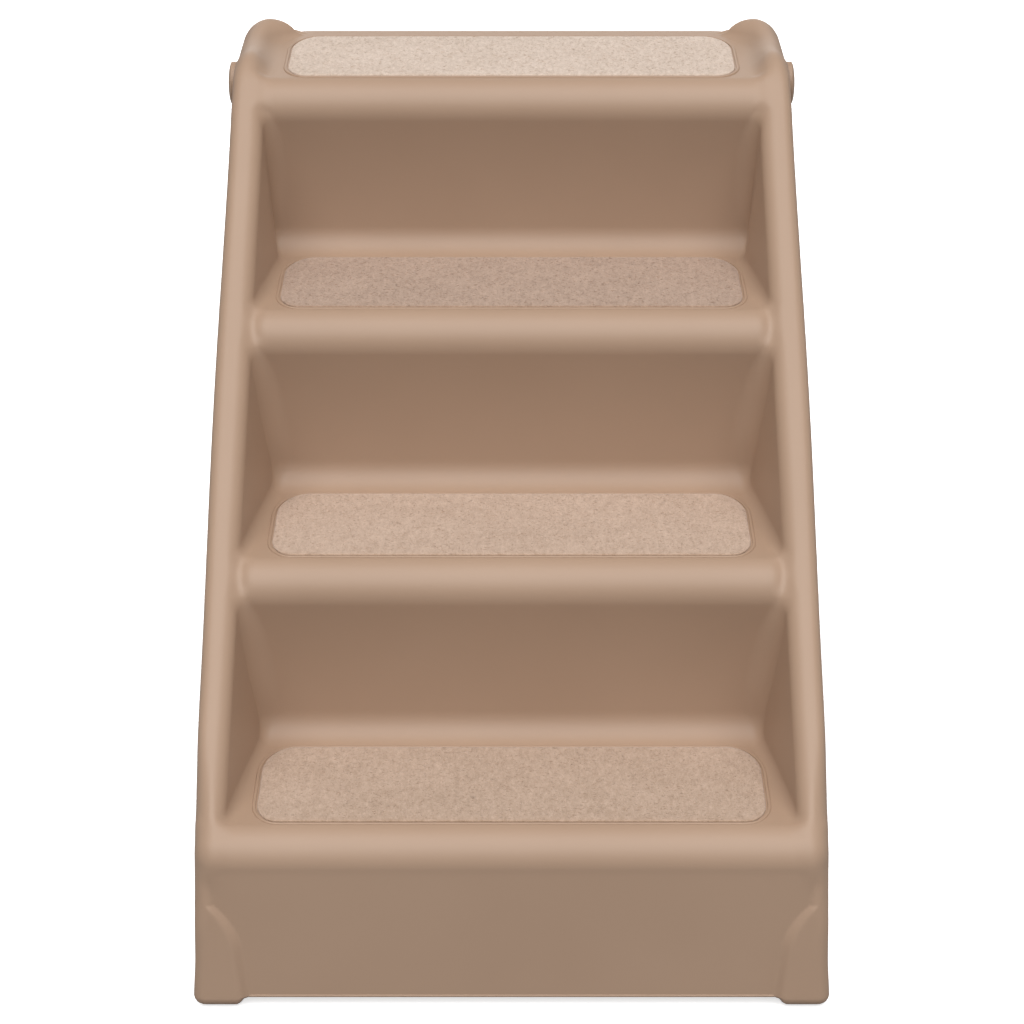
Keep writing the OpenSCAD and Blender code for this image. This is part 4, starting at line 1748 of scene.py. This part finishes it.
@dataclass
class MouldedEdges:
    """Beads that are moulded with the body: lips round the pads and the rims of its edges."""

    body: StairBody
    pads: list[TreadPad]
    # Lips round the pads
    lip_gap: float = 0.9
    lip_w: float = 2.4
    lip_h: float = 1.6
    lip_lift: float = 0.05
    # Bead along the lower edges of the walls and the skirt
    rim_d: float = 4.2
    rim_inset: float = 1.4
    foot_rise: float = 1.0
    step: float = 6.0
    least_step: float = 0.1
    corner_points: int = 8
    # Flange under the front panel
    flange_w: float = 3.0
    flange_h: float = 2.4
    flange_proud: float = 0.5
    flange_points: int = 60
    # Points round each bead
    sides: int = 10

    def build(self, finishes: Finishes) -> None:
        """Makes the beads and lets them ride on the body.

        Args:
            finishes: The finishes of the whole object.
        """
        recipe = bead_recipe()
        beads = (("pad_lips", self._lips(), True, self.lip_w, self.lip_h),
                 ("rim_bead", self._rims(), False, self.rim_d, self.rim_d),
                 ("front_flange", self._flange(), False, self.flange_w, self.flange_h))
        for name, loops, closed, width, height in beads:
            obj = recipe.run(wire(name, loops, closed), Width=width * MM, Height=height * MM,
                             Sides=self.sides, Material=finishes.plastic)
            fit_piece(obj, Body.STAIRS, Slot.PLASTIC)

    def _lips(self) -> list[Array]:
        """Loops round the pads, on the treads.

        Returns:
            One loop for each pad.
        """
        lay = self.body.layout
        loops = []
        for pad in self.pads:
            loop = pad.outline(-self.lip_gap - self.lip_w / 2)
            z = np.full(len(loop), lay.tread_z[pad.number - 1] + self.lip_lift)
            loops.append(np.column_stack([loop, z]))
        return loops

    def _rims(self) -> list[Array]:
        """Path along the lower edges of a side wall, the back skirt and the other side wall.

        Returns:
            One open path.
        """
        body, lay = self.body, self.body.layout
        skirt_z = lay.tread_z[3] - body.skirt_drop
        line = body.under.points(self.step)[::-1]
        apart = np.append(self.step, np.hypot(*np.diff(line, axis=0).T))
        above = line[:, 1] > body.edge_gap + self.foot_rise
        y, z = line[(apart > self.least_step) & above & (line[:, 1] < skirt_z)].T
        radius = body.hump_side_r - self.rim_inset
        corner_y = lay.back_y - body.hump_side_r
        past = np.clip(y - corner_y, 0.0, radius)
        x = body.half_width(z) - body.hump_side_r + np.sqrt(radius ** 2 - past ** 2)
        wall = np.column_stack([x, y, z])
        start = math.degrees(math.asin(past[-1] / radius))
        turn = np.radians(np.linspace(start, 90.0, self.corner_points)[1:])
        corner_x = body.half_width(skirt_z) - body.hump_side_r
        corner = np.column_stack([corner_x + radius * np.cos(turn),
                                  corner_y + radius * np.sin(turn), np.full(len(turn), skirt_z)])
        half = np.concatenate([wall, corner])
        return [np.concatenate([half, half[::-1] * (-1.0, 1.0, 1.0)])]

    def _flange(self) -> list[Array]:
        """Path along the bottom of the front panel, between the posts.

        Returns:
            One open path.
        """
        body = self.body
        panel_y = body.layout.nose_y[0] + body.panel_inset
        x = np.linspace(-body.post_x, body.post_x, self.flange_points)
        ones = np.ones(len(x))
        y = panel_y + self.flange_w / 2 - self.flange_proud
        return [np.column_stack([x, y * ones, (body.edge_gap + self.flange_h / 2) * ones])]


@dataclass
class RearLeg(MouldedPiece):
    """The rear leg: cheeks, back panel, bosses, lugs, ribs and soles."""

    name = "leg_moulding"
    node = "rear_leg"
    rides_on = Body.LEG
    most_triangles = 150_000

    # Panel, its window and the arch under it
    lean: float = 6.367
    panel_t: float = 4.0
    top_drop: float = 15.0
    window_w: float = 200.0
    window_low: float = 152.0
    window_high: float = 282.0
    arch_w: float = 270.0
    arch_h: float = 100.0
    opening_r: float = 25.0
    rim_w: float = 7.0
    rim_h: float = 2.5
    rim_fillet: float = 1.5
    edge_r: float = 1.5
    # Cheeks and their bosses round the hinges
    cheek_t: float = 5.0
    cheek_edge_r: float = 1.4
    cheek_fillet: float = 4.0
    knee_z: float = 60.0
    knee_inset: float = 6.0
    boss_r: float = 17.0
    boss_len: float = 20.0
    boss_edge_r: float = 1.0
    boss_fillet: float = 3.0
    boss_from: int = 185
    boss_to: int = 55
    boss_turn: int = -10
    # Soles
    foot_d: float = 66.0
    foot_w: float = 35.0
    sole_h: float = 20.0
    sole_gap: float = 1.5
    sole_r: float = 2.0
    sole_fillet: float = 3.0
    # Lugs of the brace and the long ribs
    lug_x: float = 121.0
    lug_w: float = 8.0
    lug_r: float = 9.5
    lug_fillet: float = 2.0
    rib_x: float = 137.0
    rib_t: float = 3.0
    rib_d: float = 12.0
    rib_ramp: float = 0.7
    # Grid: its lines across the leg, its steps, and how far it runs past the leg
    middle_lines: Lines = (70.0, 10.0)
    fine_end_x: float = 118.0
    outer_lines: tuple[Lines, ...] = ((142.0, 1.3), (174.0, 2.6))
    cheek_step: float = 1.4
    full_step: float = 2.2
    quick_step: float = 4.0
    full_step_y: float = 1.8
    quick_step_y: float = 3.5
    side_margin: float = 3.0
    margin: float = 4.0
    floor_margin: float = 2.0

    def __post_init__(self) -> None:
        """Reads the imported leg's box, its hinge and the brace's pivot."""
        self.low, self.high = node_box("rear_leg")
        self.hinge_at = side_middle("hinge_knob_right")
        self.pivot_at = side_middle("brace_pin_right")
        self.half = self.high[0]
        self.top_z = self.hinge_at[1] - self.top_drop
        self.back_y = self.high[1] + self.sole_gap * math.tan(math.radians(self.lean))

    def back(self, y: Array, z: Array) -> Array:
        """Distance behind the panel's back face."""
        normal = direction(self.lean)
        return (y - self.back_y) * normal[0] + z * normal[1]

    def solid(self, x: Array, y: Array, z: Array) -> Array:
        """Distance to the leg.

        Args:
            x: Places across the stairs, zero in the middle.
            y: Places from front to back.
            z: Heights above the floor.

        Returns:
            The distance of each place, negative inside.
        """
        across = np.abs(x)
        back = self.back(y, z)
        ends = np.maximum(z - self.top_z, self.sole_gap - z)
        window = rounded_window(x, z, self.window_w, self.window_low, self.window_high,
                                self.opening_r)
        arch = rounded_window(x, z, self.arch_w, -OVERRUN, self.arch_h, self.opening_r)
        opening = np.minimum(window, arch)
        sheet = np.maximum(np.maximum(back, -back - self.panel_t), ends)
        sheet = np.maximum(sheet, across - self.half)
        rim = np.maximum(slab(opening, self.rim_w / 2, self.rim_w),
                         np.maximum(back, -back - self.panel_t - self.rim_h))
        rim = np.maximum(rim, np.maximum(ends, across - self.half))
        leg = fillet_union(sheet, rim, self.rim_fillet)
        cheek = rounded_cut(self.cheek_side(y, z),
                            slab(across, self.half - self.cheek_t / 2, self.cheek_t),
                            self.cheek_edge_r)
        leg = fillet_union(leg, cheek, self.cheek_fillet)
        boss = rounded_cut(np.hypot(y - self.hinge_at[0], z - self.hinge_at[1]) - self.boss_r,
                           slab(across, self.half - self.boss_len / 2, self.boss_len),
                           self.boss_edge_r)
        leg = fillet_union(leg, boss, self.boss_fillet)
        leg = fillet_union(leg, self.lugs(across, y, z, back), self.lug_fillet)
        sole = rounded_box(across, y, z,
                           (self.half - self.foot_w, self.high[1] - self.foot_d, self.sole_gap),
                           (self.half, self.high[1] + OVERRUN, self.sole_gap + self.sole_h),
                           self.sole_r)
        leg = fillet_union(leg, np.maximum(sole, back), self.sole_fillet)
        leg = rounded_cut(leg, -opening, self.edge_r)
        return rounded_cut(leg, np.maximum(back, across - self.half), self.edge_r)

    def cheek_side(self, y: Array, z: Array) -> Array:
        """Side view of a cheek.

        Args:
            y: Places from front to back.
            z: Heights above the floor.

        Returns:
            The distance of each place, negative inside.
        """
        front_y = self.high[1] - self.foot_d
        tan = math.tan(math.radians(self.lean))
        rows = [self.hinge_at + self.boss_r * direction(a)
                for a in range(self.boss_from, self.boss_to - 1, self.boss_turn)]
        rows += [(self.back_y - self.top_z * tan, self.top_z),
                 (self.back_y - self.sole_gap * tan, self.sole_gap), (front_y, self.sole_gap),
                 (front_y, self.sole_gap + self.sole_h),
                 (front_y - self.knee_inset, self.knee_z)]
        return polygon_distance(y, z, np.array(rows))

    def lugs(self, across: Array, y: Array, z: Array, back: Array) -> Array:
        """Distance to the brace's lugs and the two long ribs inside the panel.

        Args:
            across: Places to either side of the middle.
            y: Places from front to back.
            z: Heights above the floor.
            back: Distance behind the panel's back face.

        Returns:
            The distance of each place, negative inside.
        """
        lug_x = slab(across, self.lug_x + self.lug_w / 2, self.lug_w)
        off = np.hypot(y - self.pivot_at[0], z - self.pivot_at[1]) - self.lug_r
        strut = np.maximum(np.abs(z - self.pivot_at[1]) - self.lug_r, self.pivot_at[0] - y)
        lug = np.maximum(lug_x, np.minimum(off, np.maximum(strut, back)))
        low = self.arch_h + self.opening_r
        high = self.top_z - self.opening_r
        depth = -back - self.panel_t - self.rib_d
        ramp = np.maximum(low - z, z - high) + (-back - self.panel_t)
        rib = np.maximum(slab(across, self.rib_x + self.rib_t / 2, self.rib_t),
                         np.maximum(np.maximum(depth, ramp * self.rib_ramp), back))
        return np.minimum(lug, rib)

    def grid(self) -> tuple[Array, Array, Array]:
        """Grid lines that are closer at the cheeks, lugs and ribs.

        Returns:
            The grid lines along X, Y and Z.
        """
        step, step_y = self.full_step, self.full_step_y
        xs = mirrored_steps([self.middle_lines, (self.fine_end_x, step), *self.outer_lines,
                             (self.half + self.side_margin, self.cheek_step)])
        ys = even_steps([(self.low[1] - self.margin, self.high[1] + self.margin, step_y)])
        zs = even_steps([(-self.floor_margin, self.high[2] + self.margin, step)])
        return xs, ys, zs


@dataclass
class LockBrace(MouldedPiece):
    """The brace: two hooked arms joined by a ribbed plate."""

    name = "brace_moulding"
    node = "lock_brace"
    rides_on = Body.BRACE
    most_triangles = 90_000

    # Arms
    arm_t: float = 14.0
    arm_w: float = 14.0
    arm_fillet: float = 2.5
    edge_r: float = 1.8
    pivot_r: float = 8.5
    # Hooks and their notches round the catch bar
    hook_front: float = 13.0
    hook_back: float = 20.0
    hook_half_h: float = 10.0
    hook_exit: float = 42.0
    hook_fillet: float = 3.0
    notch_r: float = 5.1
    notch_edge_r: float = 0.6
    notch_points: int = 12
    notch_mouth: float = 22.0
    # Plate and its ribs
    plate_t: float = 4.0
    plate_inset: float = 24.0
    rib_w: float = 5.0
    rib_edge_r: float = 1.2
    rib_fillet: float = 1.5
    # Grid: its lines between the arms, its steps, and how far it runs past the brace
    plate_step: float = 10.0
    arm_lines_w: float = 20.0
    full_step: float = 1.5
    quick_step: float = 3.0
    margin: float = 3.0

    def __post_init__(self) -> None:
        """Reads the pivot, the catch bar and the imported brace's width."""
        self.pivot_at = side_middle("brace_pin_right")
        reach = side_middle("catch_bar") - self.pivot_at
        self.length = math.hypot(*reach)
        self.ahead = reach / self.length
        self.half = node_box("lock_brace")[1][0]

    def solid(self, x: Array, y: Array, z: Array) -> Array:
        """Distance to the brace, worked out along its length u and across it v.

        Args:
            x: Places across the stairs, zero in the middle.
            y: Places from front to back.
            z: Heights above the floor.

        Returns:
            The distance of each place, negative inside.
        """
        dy, dz = y - self.pivot_at[0], z - self.pivot_at[1]
        u = dy * self.ahead[0] + dz * self.ahead[1]
        v = dz * self.ahead[0] - dy * self.ahead[1]
        bar = np.maximum(slab(u, self.length / 2, self.length), slab(v, 0.0, self.arm_t))
        eye = np.hypot(u, v) - self.pivot_r
        start, end = self.length - self.hook_back, self.length + self.hook_front
        hook = np.maximum(slab(u, (start + end) / 2, end - start), np.abs(v) - self.hook_half_h)
        side = fillet_union(np.minimum(bar, eye), hook, self.hook_fillet)
        side = rounded_cut(side, -self.notch(u - self.length, v), self.notch_edge_r)
        across = np.abs(x)
        arm = rounded_cut(side, slab(across, self.half - self.arm_w / 2, self.arm_w), self.edge_r)
        inset, far = self.plate_inset, self.length - self.plate_inset
        inner = across - self.half + self.arm_w / 2
        plate = np.maximum(np.maximum(inset - u, u - far), slab(v, 0.0, self.plate_t))
        ribs = FAR
        for middle in (inset + self.rib_w / 2, self.length / 2, far - self.rib_w / 2):
            rib = rounded_cut(slab(u, middle, self.rib_w), slab(v, 0.0, self.arm_t),
                              self.rib_edge_r)
            ribs = np.minimum(ribs, rib)
        web = np.maximum(fillet_union(plate, ribs, self.rib_fillet), inner)
        return fillet_union(arm, web, self.arm_fillet)

    def notch(self, u: Array, v: Array) -> Array:
        """Distance to the hook's notch, with the catch bar at the origin.

        Args:
            u: Places along the arm, from the bar.
            v: Places across the arm, from the bar.

        Returns:
            The distance of each place, negative inside.
        """
        angles = np.linspace(0.0, 90.0 + self.hook_exit, self.notch_points)
        rows = [(self.notch_r, -2 * self.hook_half_h)]
        rows += [self.notch_r * direction(a) for a in angles]
        out = direction(180.0 + self.hook_exit)
        rows.append(np.array(rows[-1]) + self.notch_mouth * out)
        return polygon_distance(u, v, np.array(rows, float))

    def grid(self) -> tuple[Array, Array, Array]:
        """Grid lines that are closer at the arms.

        Returns:
            The grid lines along X, Y and Z.
        """
        step = self.full_step
        low, high = node_box("lock_brace")
        xs = mirrored_steps([(self.half - self.arm_lines_w, self.plate_step),
                             (self.half + self.margin, step)])
        ys = even_steps([(low[1] - self.margin, high[1] + self.margin, step)])
        zs = even_steps([(low[2] - self.margin, high[2] + self.margin, step)])
        return xs, ys, zs


@dataclass(frozen=True)
class Studio:
    """Plain pale floor, soft lights and the photo's camera.

    The wide light overhead gives the photo's soft shading. The weak one behind lifts the back
    edge of the top step.
    """

    floor_size: float = 60.0
    world_strength: float = 0.33
    sky_power: float = 3.05
    sky_angle: float = 70.0
    sky_tilt: float = 28.0
    back_power: float = 0.3
    back_angle: float = 30.0
    back_tilt: float = -84.0
    camera_at: tuple[float, float, float] = (0.0, -2.4678, 1.139)
    camera_pitch: float = 69.433
    lens_mm: float = 136.91
    shift_x: float = 0.0004
    shift_y: float = -0.001

    def build(self) -> None:
        """Adds the floor, the lights, the world and the camera."""
        half = self.floor_size / 2
        mesh = bpy.data.meshes.new("floor")
        mesh.from_pydata([(-half, -half, 0), (half, -half, 0), (half, half, 0), (-half, half, 0)],
                         [], [(0, 1, 2, 3)])
        floor = link(bpy.data.objects.new("floor", mesh))
        dress(floor, StudioFloor().make())
        self._light("overhead_light", self.sky_power, self.sky_angle, self.sky_tilt)
        self._light("back_light", self.back_power, self.back_angle, self.back_tilt)
        world = bpy.data.worlds.new("studio_world")
        world.use_nodes = True
        back = world.node_tree.nodes["Background"]
        feed(world.node_tree, back, {"Color": linear("#ffffff"), "Strength": self.world_strength})
        bpy.context.scene.world = world
        self._camera()

    def _light(self, name: str, power: float, angle: float, tilt: float) -> None:
        """Adds a wide soft light, tilted back from straight down towards the front.

        Args:
            name: Name of the light.
            power: Strength of the light.
            angle: How wide the light is, in degrees.
            tilt: Its turn about X, in degrees.
        """
        data = bpy.data.lights.new(name, "SUN")
        data.energy = power
        data.angle = math.radians(angle)
        lamp = link(bpy.data.objects.new(name, data))
        lamp.rotation_euler = (math.radians(tilt), 0.0, 0.0)

    def _camera(self) -> None:
        """Sets the camera at the photo's place and angle."""
        data = bpy.data.cameras.new("photo_camera")
        data.lens = self.lens_mm
        data.shift_x = self.shift_x
        data.shift_y = self.shift_y
        camera = link(bpy.data.objects.new("photo_camera", data))
        camera.location = self.camera_at
        camera.rotation_euler = (math.radians(self.camera_pitch), 0.0, 0.0)
        bpy.context.scene.camera = camera
        bpy.context.scene.view_settings.view_transform = "Standard"


def dress_packed_nodes(finishes: Finishes) -> None:
    """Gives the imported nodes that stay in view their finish.

    Args:
        finishes: The finishes of the whole object.
    """
    kept = {
        "hinge_knob_left": finishes.plastic, "hinge_knob_right": finishes.plastic,
        "catch_bar_caps": finishes.plastic,
        "hinge_washers": finishes.steel, "hinge_screws": finishes.steel,
        "catch_bar": finishes.steel, "brace_pin_left": finishes.steel,
        "brace_pin_right": finishes.steel,
        "front_foot_left": finishes.rubber, "front_foot_right": finishes.rubber,
        "rear_foot_left": finishes.rubber, "rear_foot_right": finishes.rubber,
    }
    for name, material in kept.items():
        dress(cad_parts[name], material)
        LOG.info("%s dressed", name)


def main() -> None:
    """Builds the studio and every piece."""
    Studio().build()
    finishes = Finishes()
    layout = StairLayout()
    body = StairBody(layout)
    body.build(finishes)
    pads = [TreadPad(number + 1, layout) for number in range(len(layout.tread_z))]
    for pad in pads:
        pad.build(finishes)
    MouldedEdges(body, pads).build(finishes)
    RearLeg().build(finishes)
    LockBrace().build(finishes)
    dress_packed_nodes(finishes)


if __name__ == "__main__":
    logging.basicConfig(level=logging.INFO, format="%(name)s: %(message)s")
    main()
